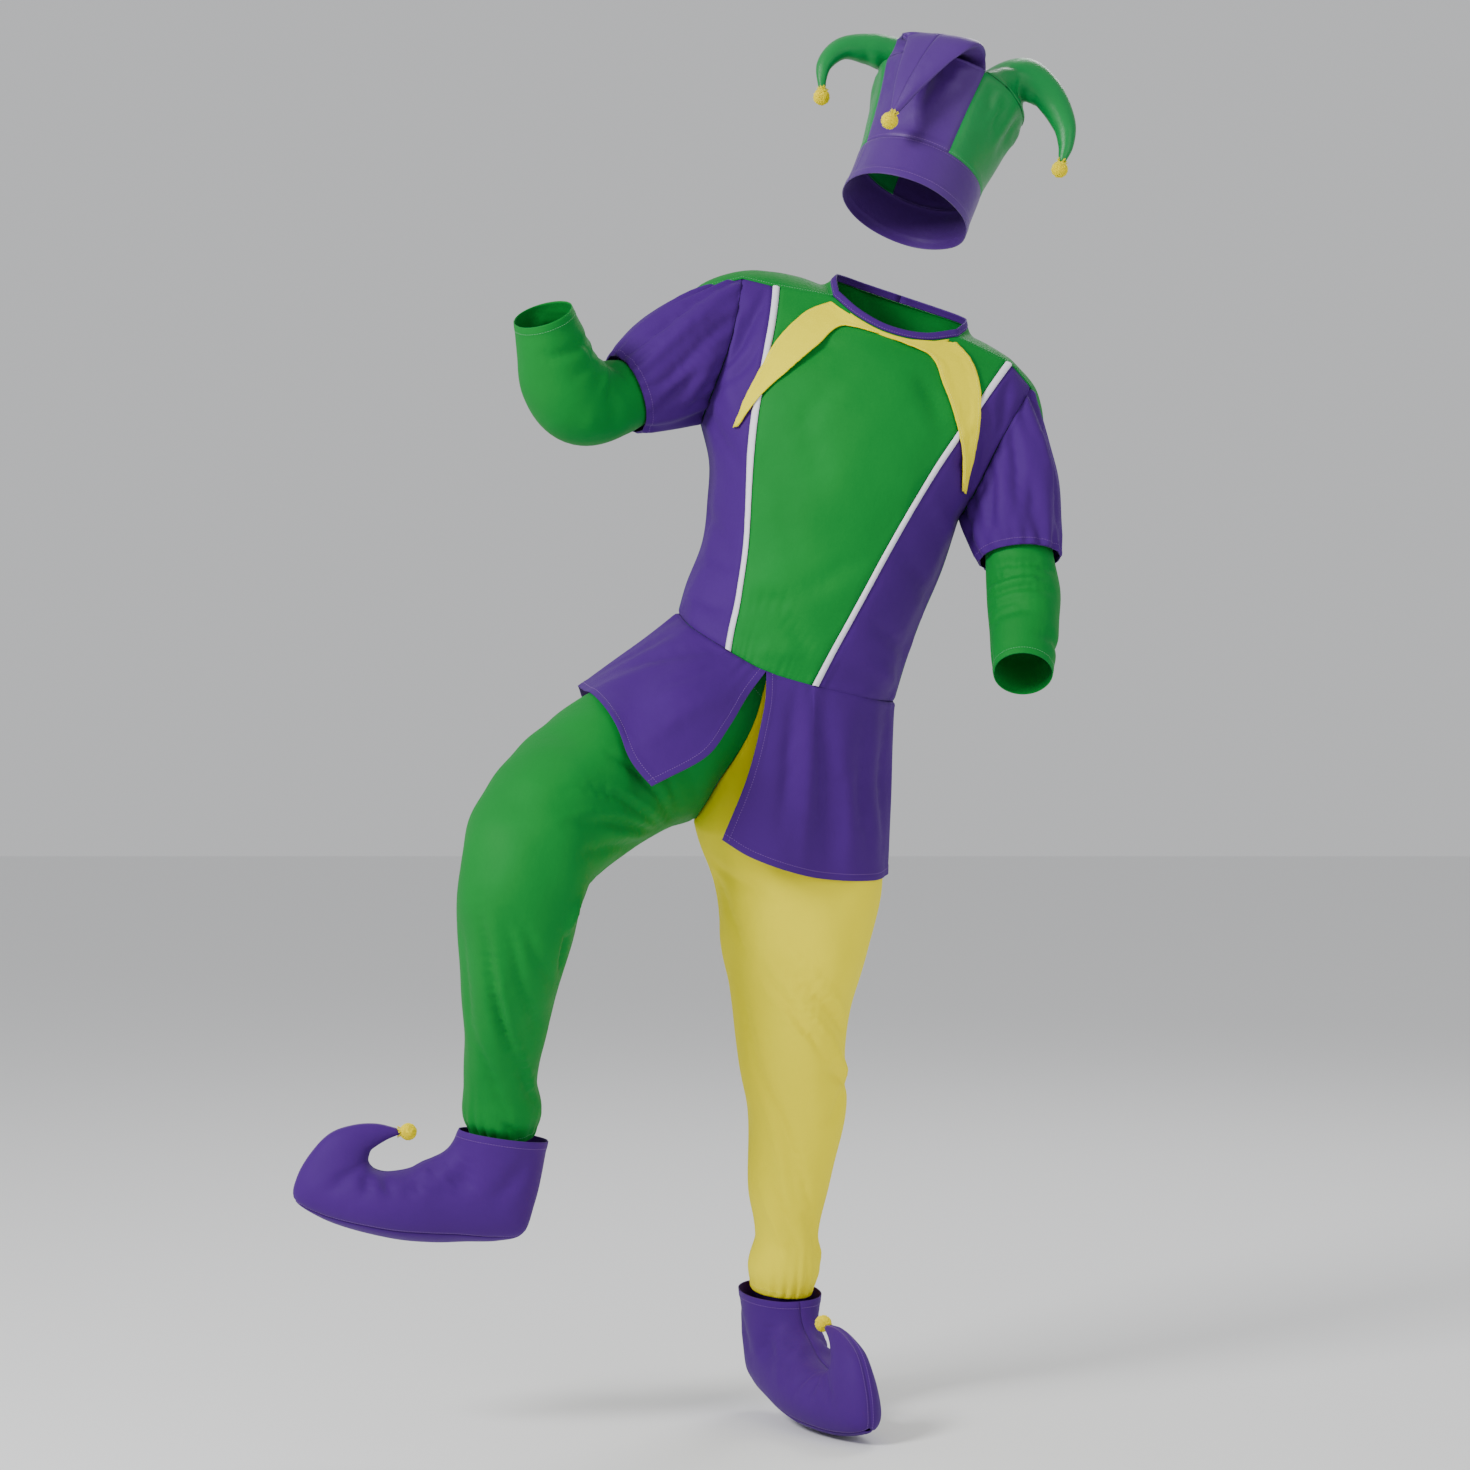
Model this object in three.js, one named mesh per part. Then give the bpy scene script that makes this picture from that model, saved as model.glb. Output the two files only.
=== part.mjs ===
// Jester costume, worn and empty: hat, tunic with peplum, trousers and two boot covers.
// Millimetres, +Z up, the front faces -Y, +X is the wearer's left.
// The origin is the middle of the neck opening, where the shoulders carry the tunic.
// Every cloth piece is a sheet: a grid of points on the middle of its wall,
// moved out and in by half the wall, and closed round its edge.
import * as THREE from 'three';

// Driving dimensions
const WALL = 2;
const SEAM_GAP = 0.3;
const ARMHOLE_PULL = 0.8;
const TRIM_LIFT = 4.5;
const BODY_LEAN = 18;
const BINDING_WIDTH = 10;
const BINDING_LIFT = 0.8;
const SHOULDER_ROLL = 5;
const SIDE_ROWS = 6;
const ARMHOLE_ROWS = 6;
const PUFF_ROWS = 7;
const PUFF_GATHERS = 6;
const PUFF_GATHER_DEPTH = 2.2;
const FOREARM_ROWS = 8;
const LEG_AROUND = 16;
const SEAT_ROWS = 6;
const LEG_ROWS = 15;
const BOOT_SIDE_COLS = 5;
const BOOT_SOLE_COLS = 3;
const SOLE_ANGLE = 48;
const SOLE_TIP = 0.1;
const HAT_LEAN = 21.6;
const HAT_TIP_BACK = 16;
const HAT_PLACE = { x: 7, y: -15, z: 124 };
const BAND_HEIGHT = 61;
const CROWN_HEIGHT = 186;
const PANEL_TURN = -72.4;
const PANEL_COLS = 5;
const CROWN_ROWS = 4;
const HORN_ROWS = 8;
const HORN_BASE_LIFT = 1.6;
const HORN_BASE_INSET = 2.6;
const POMPOM_CORE = 10.4;
const POMPOM_RADIUS = 12;

const COLOURS = {
  purple: 0x5a3686,
  green: 0x148c48,
  yellow: 0xe2d24a,
  white: 0xece8f0,
};

// Numbers along a table, through its rows, as smooth Hermite pieces
function smoothThrough(knots, values) {
  const last = knots.length - 1;
  const slopes = values.map((value, i) => {
    const a = Math.max(i - 1, 0);
    const b = Math.min(i + 1, last);
    return (values[b] - values[a]) / (knots[b] - knots[a]);
  });
  return (at) => {
    let i = 0;
    while (i < last - 1 && at > knots[i + 1]) i += 1;
    const span = knots[i + 1] - knots[i];
    const f = (at - knots[i]) / span;
    const g = 1 - f;
    const start = values[i] * (1 + 2 * f) * g * g + slopes[i] * span * f * g * g;
    const end = values[i + 1] * (1 + 2 * g) * f * f - slopes[i + 1] * span * g * f * f;
    return start + end;
  };
}

function columnsOf(table) {
  const knots = table.map((row) => row.at);
  const names = Object.keys(table[0]).filter((name) => name !== 'at');
  const parts = names.map((name) => [name, smoothThrough(knots, table.map((row) => row[name]))]);
  return (at) => Object.fromEntries(parts.map(([name, value]) => [name, value(at)]));
}

// Points from one table after another, one for each whole step of at
function pointsAlong(...tables) {
  const points = [];
  for (const table of tables) {
    const place = columnsOf(table);
    const first = table[0].at;
    const last = table[table.length - 1].at;
    for (let at = first; at <= last; at += 1) {
      if (points.length > 0 && at === first) continue;
      const { x, y, z } = place(at);
      points.push(new THREE.Vector3(x, y, z));
    }
  }
  return points;
}

function mixPoints(a, b, share) {
  return a.clone().lerp(b, share);
}

// A four-sided piece of cloth filled in between its four edges. A bend of a side edge
// is felt mostly near that edge. depthAt gives the depth of the worn body's section where
// there is one, and the filled depth takes over again towards the top edge.
const SHIFT_REACH = 2;
const TOP_EASE = 5;
function fillBetween(bottom, top, left, right, bulge, depthAt = null) {
  const rows = left.length - 1;
  const cols = bottom.length - 1;
  return left.map((leftPoint, row) => bottom.map((bottomPoint, col) => {
    const up = row / rows;
    const across = col / cols;
    const point = mixPoints(bottomPoint, top[col], up);
    const leftShift = leftPoint.clone().sub(mixPoints(bottom[0], top[0], up));
    const rightShift = right[row].clone().sub(mixPoints(bottom[cols], top[cols], up));
    point.addScaledVector(leftShift, (1 - across) ** SHIFT_REACH);
    point.addScaledVector(rightShift, across ** SHIFT_REACH);
    const inside = row > 0 && row < rows && col > 0 && col < cols;
    if (depthAt && inside) {
      point.y = THREE.MathUtils.lerp(depthAt(point.x, point.z), point.y, up ** TOP_EASE);
    }
    return point.add(bulge(across, up));
  }));
}

function gridNormals(points) {
  const rows = points.length - 1;
  const cols = points[0].length - 1;
  return points.map((line, row) => line.map((point, col) => {
    const across = new THREE.Vector3();
    const along = new THREE.Vector3();
    across.subVectors(line[Math.min(col + 1, cols)], line[Math.max(col - 1, 0)]);
    along.subVectors(points[Math.min(row + 1, rows)][col], points[Math.max(row - 1, 0)][col]);
    return across.cross(along).normalize();
  }));
}

// A sheet of cloth: its name, colour, points, group, and a place on its inner side
const sheets = [];
function cloth(name, colour, points, group, heart = middleOf(points), pullIn = SEAM_GAP / 2) {
  const normals = gridNormals(points);
  const outward = points.flat().reduce((sum, point, k) => (
    sum + point.clone().sub(heart).dot(normals.flat()[k])
  ), 0);
  sheets.push({ name, colour, points, group, normals, pullIn, faces: Math.sign(outward) });
}

function middleOf(points) {
  const all = points.flat();
  const sum = all.reduce((total, point) => total.add(point), new THREE.Vector3());
  return sum.divideScalar(all.length);
}

function subGrid(points, firstCol, lastCol, firstRow = 0, lastRow = points.length - 1) {
  return points.slice(firstRow, lastRow + 1).map((line) => line.slice(firstCol, lastCol + 1));
}

// Soft folds: a ridge or trough along a straight line on the sheet, fading at both ends
function fold(points, table) {
  const normals = gridNormals(points);
  const rows = points.length - 1;
  const cols = points[0].length - 1;
  const moved = points.map((line) => line.map((point) => point.clone()));
  for (const { row, col, toRow, toCol, wide, high } of table) {
    const start = points[Math.round(row * rows)][Math.round(col * cols)];
    const end = points[Math.round(toRow * rows)][Math.round(toCol * cols)];
    const line = new THREE.Line3(start, end);
    for (let i = 1; i < rows; i += 1) {
      for (let j = 1; j < cols; j += 1) {
        const share = line.closestPointToPointParameter(points[i][j], true);
        const away = line.at(share, new THREE.Vector3()).distanceTo(points[i][j]);
        const rise = high * Math.exp(-((away / wide) ** 2)) * Math.sin(Math.PI * (0.1 + 0.8 * share));
        moved[i][j].addScaledVector(normals[i][j], rise);
      }
    }
  }
  return moved;
}

// Tubes of cloth: rings along a bent path, seamed on the inner side of the limb
function ringFrames(table, rows, front, side) {
  const place = columnsOf(table);
  const frames = [];
  for (let row = 0; row <= rows; row += 1) {
    const at = row / rows;
    const ring = place(at);
    const before = place(Math.max(at - 0.01, 0));
    const after = place(Math.min(at + 0.01, 1));
    const along = new THREE.Vector3(after.x - before.x, after.y - before.y, after.z - before.z);
    along.normalize();
    const facing = front.clone().addScaledVector(along, -front.dot(along)).normalize();
    const inner = new THREE.Vector3().crossVectors(along, facing).multiplyScalar(side);
    frames.push({ ...ring, centre: new THREE.Vector3(ring.x, ring.y, ring.z), facing, inner });
  }
  return frames;
}

function ringPoint(frame, angle) {
  const point = frame.centre.clone();
  point.addScaledVector(frame.inner, (frame.wide / 2) * Math.cos(angle));
  return point.addScaledVector(frame.facing, (frame.deep / 2) * Math.sin(angle));
}

function shareRound(loop) {
  const shares = [0];
  for (let i = 1; i < loop.length; i += 1) {
    shares.push(shares[i - 1] + loop[i].distanceTo(loop[i - 1]));
  }
  return shares.map((length) => length / shares[shares.length - 1]);
}

// A tube that starts at a given loop and takes up its own rings along the way
function tubeFrom(loop, frames, fade) {
  const shares = shareRound(loop);
  const rows = frames.length - 1;
  const firstRing = shares.map((share) => ringPoint(frames[0], 2 * Math.PI * share));
  return frames.map((frame, row) => loop.map((start, col) => {
    const angle = 2 * Math.PI * shares[col];
    const keep = Math.max(1 - row / rows / fade, 0) ** 2;
    const point = ringPoint(frame, angle);
    return point.addScaledVector(start.clone().sub(firstRing[col]), keep);
  }));
}

function plainTube(frames, around) {
  return frames.map((frame) => Array.from({ length: around + 1 }, (_, col) => (
    ringPoint(frame, (2 * Math.PI * col) / around)
  )));
}

const FRONT = new THREE.Vector3(0, -1, 0);
const BODY_HEART = new THREE.Vector3(0, 0, -300);
const HIP_HEART = new THREE.Vector3(0, 0, -620);
const noBulge = () => new THREE.Vector3();

// Groups: the tunic leans with the body, the hat with the head
const costume = new THREE.Group();
const tunic = new THREE.Group();
tunic.rotation.y = THREE.MathUtils.degToRad(BODY_LEAN);
const hat = new THREE.Group();
hat.rotation.set(
  THREE.MathUtils.degToRad(-HAT_TIP_BACK),
  THREE.MathUtils.degToRad(HAT_LEAN),
  0,
  'YXZ',
);
hat.position.set(HAT_PLACE.x, HAT_PLACE.y, HAT_PLACE.z);
costume.add(tunic, hat);

// Sections of the worn body by height: half widths to the right and left, and depths
const FRONT_SECTIONS = [
  { at: -540, right: 157, left: 161, deep: 122 },
  { at: -450, right: 159, left: 160, deep: 124 },
  { at: -388, right: 158, left: 162, deep: 128 },
  { at: -328, right: 169, left: 168, deep: 133 },
  { at: -282, right: 183, left: 171, deep: 137 },
  { at: -238, right: 207, left: 178, deep: 138 },
  { at: -190, right: 217, left: 192, deep: 134 },
  { at: -130, right: 221, left: 204, deep: 121 },
  { at: -84, right: 226, left: 217, deep: 102 },
  { at: -50, right: 232, left: 228, deep: 82 },
  { at: 20, right: 240, left: 240, deep: 60 },
];
const BACK_SECTIONS = [
  { at: -540, right: 157, left: 161, deep: 113 },
  { at: -450, right: 159, left: 160, deep: 112 },
  { at: -388, right: 158, left: 162, deep: 114 },
  { at: -328, right: 169, left: 168, deep: 120 },
  { at: -282, right: 183, left: 171, deep: 127 },
  { at: -238, right: 208, left: 178, deep: 132 },
  { at: -200, right: 238, left: 206, deep: 134 },
  { at: -160, right: 265, left: 232, deep: 131 },
  { at: -110, right: 285, left: 256, deep: 124 },
  { at: -50, right: 296, left: 270, deep: 112 },
  { at: 20, right: 300, left: 280, deep: 100 },
];
function depthOf(table, way) {
  const section = columnsOf(table);
  return (x, z) => {
    const { right, left, deep } = section(z);
    const share = x / (x < 0 ? right : left);
    return way * deep * Math.sqrt(Math.max(1 - share * share, 0));
  };
}

// Tunic front: waist seam, shoulder seams and neckline, then side seams and armholes
const WAIST_FRONT = [
  { at: 0, x: -157, y: 0, z: -491 },
  { at: 1.5, x: -131, y: -70, z: -506 },
  { at: 3, x: -79, y: -108, z: -520 },
  { at: 4, x: -71, y: -111, z: -522 },
  { at: 9, x: -18, y: -122, z: -532 },
  { at: 14, x: 46, y: -114, z: -531 },
  { at: 15, x: 54, y: -112, z: -530 },
  { at: 16.5, x: 126, y: -72, z: -523 },
  { at: 18, x: 161, y: 0, z: -515 },
];
const SHOULDER_RIGHT = [
  { at: 0, x: -213, y: -22, z: -34 },
  { at: 3, x: -170, y: -30, z: -32 },
  { at: 4, x: -161, y: -31, z: -31 },
  { at: 6, x: -88, y: -41, z: -22 },
];
const NECK_FRONT = [
  { at: 6, x: -88, y: -41, z: -22 },
  { at: 7.5, x: -50, y: -63, z: -40 },
  { at: 9, x: -4, y: -72, z: -49 },
  { at: 10.5, x: 46, y: -64, z: -43 },
  { at: 12, x: 88, y: -41, z: -22 },
];
const SHOULDER_LEFT = [
  { at: 12, x: 88, y: -41, z: -22 },
  { at: 14, x: 161, y: -31, z: -32 },
  { at: 15, x: 170, y: -30, z: -34 },
  { at: 18, x: 205, y: -18, z: -54 },
];
const SIDE_RIGHT = [
  { at: 0, x: -157, y: 0, z: -491 },
  { at: 1, x: -159, y: 2, z: -450 },
  { at: 2.5, x: -156, y: 3, z: -388 },
  { at: 4, x: -168, y: 3, z: -328 },
  { at: 5, x: -181, y: 2, z: -282 },
  { at: 6, x: -207, y: 0, z: -238 },
];
const ARMHOLE_FRONT_RIGHT = [
  { at: 6, x: -207, y: 0, z: -238 },
  { at: 7.5, x: -203, y: -44, z: -200 },
  { at: 9.5, x: -200, y: -54, z: -130 },
  { at: 11, x: -206, y: -42, z: -70 },
  { at: 12, x: -213, y: -22, z: -34 },
];
const SIDE_LEFT = [
  { at: 0, x: 161, y: 0, z: -515 },
  { at: 1.5, x: 160, y: 2, z: -455 },
  { at: 3, x: 162, y: 3, z: -395 },
  { at: 4.5, x: 168, y: 3, z: -325 },
  { at: 6, x: 168, y: 0, z: -252 },
];
const ARMHOLE_FRONT_LEFT = [
  { at: 6, x: 168, y: 0, z: -252 },
  { at: 7.5, x: 176, y: -44, z: -210 },
  { at: 9.5, x: 186, y: -54, z: -140 },
  { at: 11, x: 198, y: -40, z: -84 },
  { at: 12, x: 205, y: -18, z: -54 },
];
const waistFront = pointsAlong(WAIST_FRONT);
const frontTop = pointsAlong(SHOULDER_RIGHT, NECK_FRONT, SHOULDER_LEFT);
const front = fillBetween(
  waistFront,
  frontTop,
  pointsAlong(SIDE_RIGHT, ARMHOLE_FRONT_RIGHT),
  pointsAlong(SIDE_LEFT, ARMHOLE_FRONT_LEFT),
  noBulge,
  depthOf(FRONT_SECTIONS, -1),
);
cloth('front_side_right', 'purple', subGrid(front, 0, 3), tunic, BODY_HEART);
cloth('piping_right', 'white', subGrid(front, 3, 4), tunic, BODY_HEART);
cloth('front_centre', 'green', subGrid(front, 4, 14), tunic, BODY_HEART);
cloth('piping_left', 'white', subGrid(front, 14, 15), tunic, BODY_HEART);
cloth('front_side_left', 'purple', subGrid(front, 15, 18), tunic, BODY_HEART);

// Tunic back: one piece that rolls over the shoulders and out over the sleeve heads
const WAIST_BACK = [
  { at: 0, x: -157, y: 0, z: -491 },
  { at: 3, x: -144, y: 48, z: -491 },
  { at: 7, x: -98, y: 92, z: -491 },
  { at: 10, x: -50, y: 108, z: -491 },
  { at: 13, x: 0, y: 113, z: -492 },
  { at: 16, x: 50, y: 108, z: -496 },
  { at: 19, x: 98, y: 92, z: -500 },
  { at: 23, x: 148, y: 48, z: -509 },
  { at: 26, x: 161, y: 0, z: -515 },
];
const RIDGE = [
  { at: 0, x: -285, y: 8, z: -97 },
  { at: 1.5, x: -264, y: 4, z: -56 },
  { at: 3, x: -222, y: 5, z: -24 },
  { at: 6, x: -178, y: 8, z: -9 },
  { at: 8, x: -138, y: 14, z: -4 },
  { at: 9, x: -119, y: 28, z: -4 },
  { at: 10, x: -104, y: 50, z: -6 },
  { at: 11, x: -80, y: 72, z: -8 },
  { at: 13, x: 0, y: 96, z: -12 },
  { at: 15, x: 80, y: 72, z: -11 },
  { at: 16, x: 104, y: 50, z: -10 },
  { at: 17, x: 119, y: 28, z: -10 },
  { at: 18, x: 138, y: 14, z: -14 },
  { at: 20, x: 172, y: 8, z: -27 },
  { at: 23, x: 209, y: 8, z: -47 },
  { at: 24.5, x: 229, y: 20, z: -72 },
  { at: 26, x: 247, y: 36, z: -110 },
];
const SLEEVE_HEAD_RIGHT = [
  { at: 0, x: -283, y: -6, z: -107 },
  { at: 1.5, x: -262, y: -19, z: -66 },
  { at: 3, x: -213, y: -22, z: -34 },
];
const NECK_BACK = [
  { at: 9, x: -88, y: -41, z: -22 },
  { at: 10, x: -98, y: -8, z: 1 },
  { at: 11, x: -90, y: 30, z: 9 },
  { at: 12, x: -56, y: 66, z: 13 },
  { at: 13, x: 0, y: 78, z: 14 },
  { at: 14, x: 56, y: 66, z: 12 },
  { at: 15, x: 90, y: 30, z: 6 },
  { at: 16, x: 98, y: -8, z: -3 },
  { at: 17, x: 88, y: -41, z: -22 },
];
const SLEEVE_HEAD_LEFT = [
  { at: 23, x: 205, y: -18, z: -54 },
  { at: 24.5, x: 226, y: 2, z: -82 },
  { at: 26, x: 242, y: 22, z: -122 },
];
const ARMHOLE_BACK_RIGHT = [
  { at: 6, x: -207, y: 0, z: -238 },
  { at: 7.5, x: -214, y: 46, z: -212 },
  { at: 9.5, x: -236, y: 58, z: -160 },
  { at: 11, x: -266, y: 36, z: -120 },
  { at: 12, x: -285, y: 8, z: -97 },
];
const ARMHOLE_BACK_LEFT = [
  { at: 6, x: 168, y: 0, z: -252 },
  { at: 7.5, x: 181, y: 46, z: -226 },
  { at: 9.5, x: 204, y: 64, z: -180 },
  { at: 11, x: 230, y: 56, z: -140 },
  { at: 12, x: 247, y: 36, z: -110 },
];
const backTop = [
  ...pointsAlong(SLEEVE_HEAD_RIGHT),
  ...frontTop.slice(1, 6),
  ...pointsAlong(NECK_BACK),
  ...frontTop.slice(13, 18),
  ...pointsAlong(SLEEVE_HEAD_LEFT),
];
const ridge = pointsAlong(RIDGE);
const backPlain = fillBetween(
  pointsAlong(WAIST_BACK),
  ridge,
  pointsAlong(SIDE_RIGHT, ARMHOLE_BACK_RIGHT),
  pointsAlong(SIDE_LEFT, ARMHOLE_BACK_LEFT),
  noBulge,
  depthOf(BACK_SECTIONS, 1),
);
const rollOver = ridge.map((point, col) => {
  const edge = Math.sin((Math.PI * col) / (ridge.length - 1));
  return mixPoints(point, backTop[col], 0.55).add(new THREE.Vector3(0, 0, SHOULDER_ROLL * edge));
});
const back = [...backPlain, rollOver, backTop];
cloth('back', 'green', back, tunic, BODY_HEART);

// Neck binding: a narrow band that stands up from the whole neckline, joined at the centre back
const neckLoop = [
  ...backTop.slice(13, 17),
  ...frontTop.slice(6, 13).reverse(),
  ...backTop.slice(10, 14),
].map((point) => point.clone().add(new THREE.Vector3(0, 0, BINDING_LIFT)));
const bindingTop = neckLoop.map((point) => {
  const inward = new THREE.Vector3(-point.x, -point.y, 0).normalize();
  const rise = inward.multiplyScalar(0.5).add(new THREE.Vector3(0, 0, 0.87));
  return point.clone().addScaledVector(rise, BINDING_WIDTH);
});
cloth('neck_binding', 'purple', [neckLoop, bindingTop], tunic, BODY_HEART);

// Collar points: two long leaves sewn into the front neckline, laid on the front
const COLLAR_RIGHT = [
  { at: 0, outerX: -88, outerZ: -33, innerX: -14, innerZ: -57 },
  { at: 0.2, outerX: -116, outerZ: -58, innerX: -64, innerZ: -62 },
  { at: 0.4, outerX: -139, outerZ: -104, innerX: -86, innerZ: -97 },
  { at: 0.65, outerX: -150, outerZ: -158, innerX: -111, innerZ: -140 },
  { at: 0.85, outerX: -156, outerZ: -200, innerX: -138, innerZ: -188 },
  { at: 1, outerX: -158, outerZ: -236, innerX: -153, innerZ: -233 },
];
const COLLAR_LEFT = [
  { at: 0, outerX: 88, outerZ: -33, innerX: 6, innerZ: -58 },
  { at: 0.2, outerX: 116, outerZ: -52, innerX: 60, innerZ: -64 },
  { at: 0.4, outerX: 138, outerZ: -86, innerX: 87, innerZ: -95 },
  { at: 0.65, outerX: 150, outerZ: -132, innerX: 114, innerZ: -131 },
  { at: 0.85, outerX: 156, outerZ: -180, innerX: 139, innerZ: -174 },
  { at: 1, outerX: 159, outerZ: -222, innerX: 154, innerZ: -219 },
];
const COLLAR_ROWS = 9;
const COLLAR_COLS = 3;

// The point of a grid that lies straight behind x, z, and the way out of the cloth there
function onGrid(points, x, z) {
  const normals = gridNormals(points);
  const flat = new THREE.Vector3(x, 0, z);
  const corners = [new THREE.Vector3(), new THREE.Vector3(), new THREE.Vector3()];
  const shares = new THREE.Vector3();
  for (let row = 0; row < points.length - 1; row += 1) {
    for (let col = 0; col < points[0].length - 1; col += 1) {
      const square = [[row, col], [row, col + 1], [row + 1, col + 1], [row + 1, col]];
      for (const three of [[0, 1, 2], [0, 2, 3]]) {
        const places = three.map((k) => square[k]);
        places.forEach(([i, j], k) => corners[k].set(points[i][j].x, 0, points[i][j].z));
        const found = THREE.Triangle.getBarycoord(flat, ...corners, shares);
        if (!found || Math.min(shares.x, shares.y, shares.z) < -1e-6) continue;
        const point = new THREE.Vector3();
        const out = new THREE.Vector3();
        places.forEach(([i, j], k) => {
          point.addScaledVector(points[i][j], shares.getComponent(k));
          out.addScaledVector(normals[i][j], shares.getComponent(k));
        });
        return { point, out: out.normalize() };
      }
    }
  }
  throw new Error(`no cloth behind ${x}, ${z}`);
}

function collarPoint(table) {
  const place = columnsOf(table);
  const grid = [];
  for (let row = 0; row <= COLLAR_ROWS; row += 1) {
    const rung = place(row / COLLAR_ROWS);
    const line = [];
    for (let col = 0; col <= COLLAR_COLS; col += 1) {
      const share = col / COLLAR_COLS;
      const x = THREE.MathUtils.lerp(rung.outerX, rung.innerX, share);
      const z = THREE.MathUtils.lerp(rung.outerZ, rung.innerZ, share);
      const { point, out } = onGrid(front, x, z);
      line.push(point.addScaledVector(out, TRIM_LIFT * Math.sign(-out.y)));
    }
    grid.push(line);
  }
  return grid;
}
cloth('collar_point_right', 'yellow', collarPoint(COLLAR_RIGHT), tunic);
cloth('collar_point_left', 'yellow', collarPoint(COLLAR_LEFT), tunic);

// Sleeves: a short puff from the armhole, gathered into its hem, and a close lower sleeve
const PUFF_HEM_RIGHT = {
  x: -313, y: -46, z: -234, wide: 112, deep: 112, aimX: -0.69, aimY: -0.4, aimZ: -0.6,
};
const PUFF_HEM_LEFT = {
  x: 260, y: -35, z: -281, wide: 110, deep: 112, aimX: 0.33, aimY: -0.33, aimZ: -0.88,
};
const PUFF_FULLNESS = 13;
const HEM_DRAW = 3;
const FOREARM_RIGHT = [
  { at: 0, x: -296, y: -34, z: -219, wide: 84, deep: 86 },
  { at: 0.2, x: -327, y: -60, z: -247, wide: 102, deep: 102 },
  { at: 0.42, x: -362, y: -95, z: -263, wide: 122, deep: 108 },
  { at: 0.62, x: -392, y: -122, z: -247, wide: 118, deep: 104 },
  { at: 0.8, x: -416, y: -143, z: -216, wide: 98, deep: 96 },
  { at: 1, x: -441, y: -165, z: -179, wide: 78, deep: 86 },
];
const FOREARM_LEFT = [
  { at: 0, x: 256, y: -31, z: -270, wide: 90, deep: 92 },
  { at: 0.25, x: 277, y: -52, z: -322, wide: 97, deep: 99 },
  { at: 0.5, x: 290, y: -74, z: -362, wide: 93, deep: 95 },
  { at: 0.75, x: 299, y: -99, z: -398, wide: 87, deep: 90 },
  { at: 1, x: 306, y: -125, z: -430, wide: 76, deep: 84 },
];
const armpit = SIDE_ROWS;
const shoulder = SIDE_ROWS + ARMHOLE_ROWS;

function armholeLoop(frontCol, headCols, backCol) {
  return [
    ...front.slice(armpit, shoulder + 1).map((line) => line[frontCol]),
    ...headCols.map((col) => backTop[col]),
    rollOver[backCol],
    ...back.slice(armpit, shoulder + 1).reverse().map((line) => line[backCol]),
  ];
}

// The armhole edge, then straight towards the hem ring, filled out in between by the gathers
function puff(loop, hem, side) {
  const along = new THREE.Vector3(hem.aimX, hem.aimY, hem.aimZ).normalize();
  const facing = FRONT.clone().addScaledVector(along, -FRONT.dot(along)).normalize();
  const inner = new THREE.Vector3().crossVectors(along, facing).multiplyScalar(side);
  const frame = { ...hem, centre: new THREE.Vector3(hem.x, hem.y, hem.z), facing, inner };
  const shares = shareRound(loop);
  return Array.from({ length: PUFF_ROWS + 1 }, (_, row) => loop.map((start, col) => {
    const down = row / PUFF_ROWS;
    const end = ringPoint(frame, 2 * Math.PI * shares[col]);
    const out = end.clone().sub(frame.centre).normalize();
    const round = Math.sin(Math.PI * down) * Math.sin(Math.PI * shares[col]) ** 0.7;
    const wave = Math.sin(2 * Math.PI * PUFF_GATHERS * shares[col]) * Math.sin(Math.PI * down);
    const rise = PUFF_FULLNESS * round + PUFF_GATHER_DEPTH * wave;
    const draw = row === PUFF_ROWS ? HEM_DRAW : 0;
    return mixPoints(start, end, down).addScaledVector(out, rise - draw);
  }));
}
const loopRight = armholeLoop(0, [2, 1, 0], 0);
const loopLeft = armholeLoop(18, [24, 25, 26], 26);
const puffRight = puff(loopRight, PUFF_HEM_RIGHT, -1);
cloth('sleeve_puff_right', 'purple', puffRight, tunic, middleOf(puffRight), ARMHOLE_PULL);
const puffLeft = puff(loopLeft, PUFF_HEM_LEFT, 1);
cloth('sleeve_puff_left', 'purple', puffLeft, tunic, middleOf(puffLeft), ARMHOLE_PULL);

const FOREARM_AROUND = 12;
const ELBOW_FOLDS = [
  { row: 0.45, col: 0.4, toRow: 0.5, toCol: 0.75, wide: 14, high: -4 },
  { row: 0.6, col: 0.35, toRow: 0.65, toCol: 0.7, wide: 14, high: -3.5 },
];
const forearmRight = plainTube(ringFrames(FOREARM_RIGHT, FOREARM_ROWS, FRONT, -1), FOREARM_AROUND);
const forearmLeft = plainTube(ringFrames(FOREARM_LEFT, FOREARM_ROWS, FRONT, 1), FOREARM_AROUND);
cloth('sleeve_lower_right', 'green', fold(forearmRight, ELBOW_FOLDS), tunic);
cloth('sleeve_lower_left', 'green', fold(forearmLeft, ELBOW_FOLDS), tunic);

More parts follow.
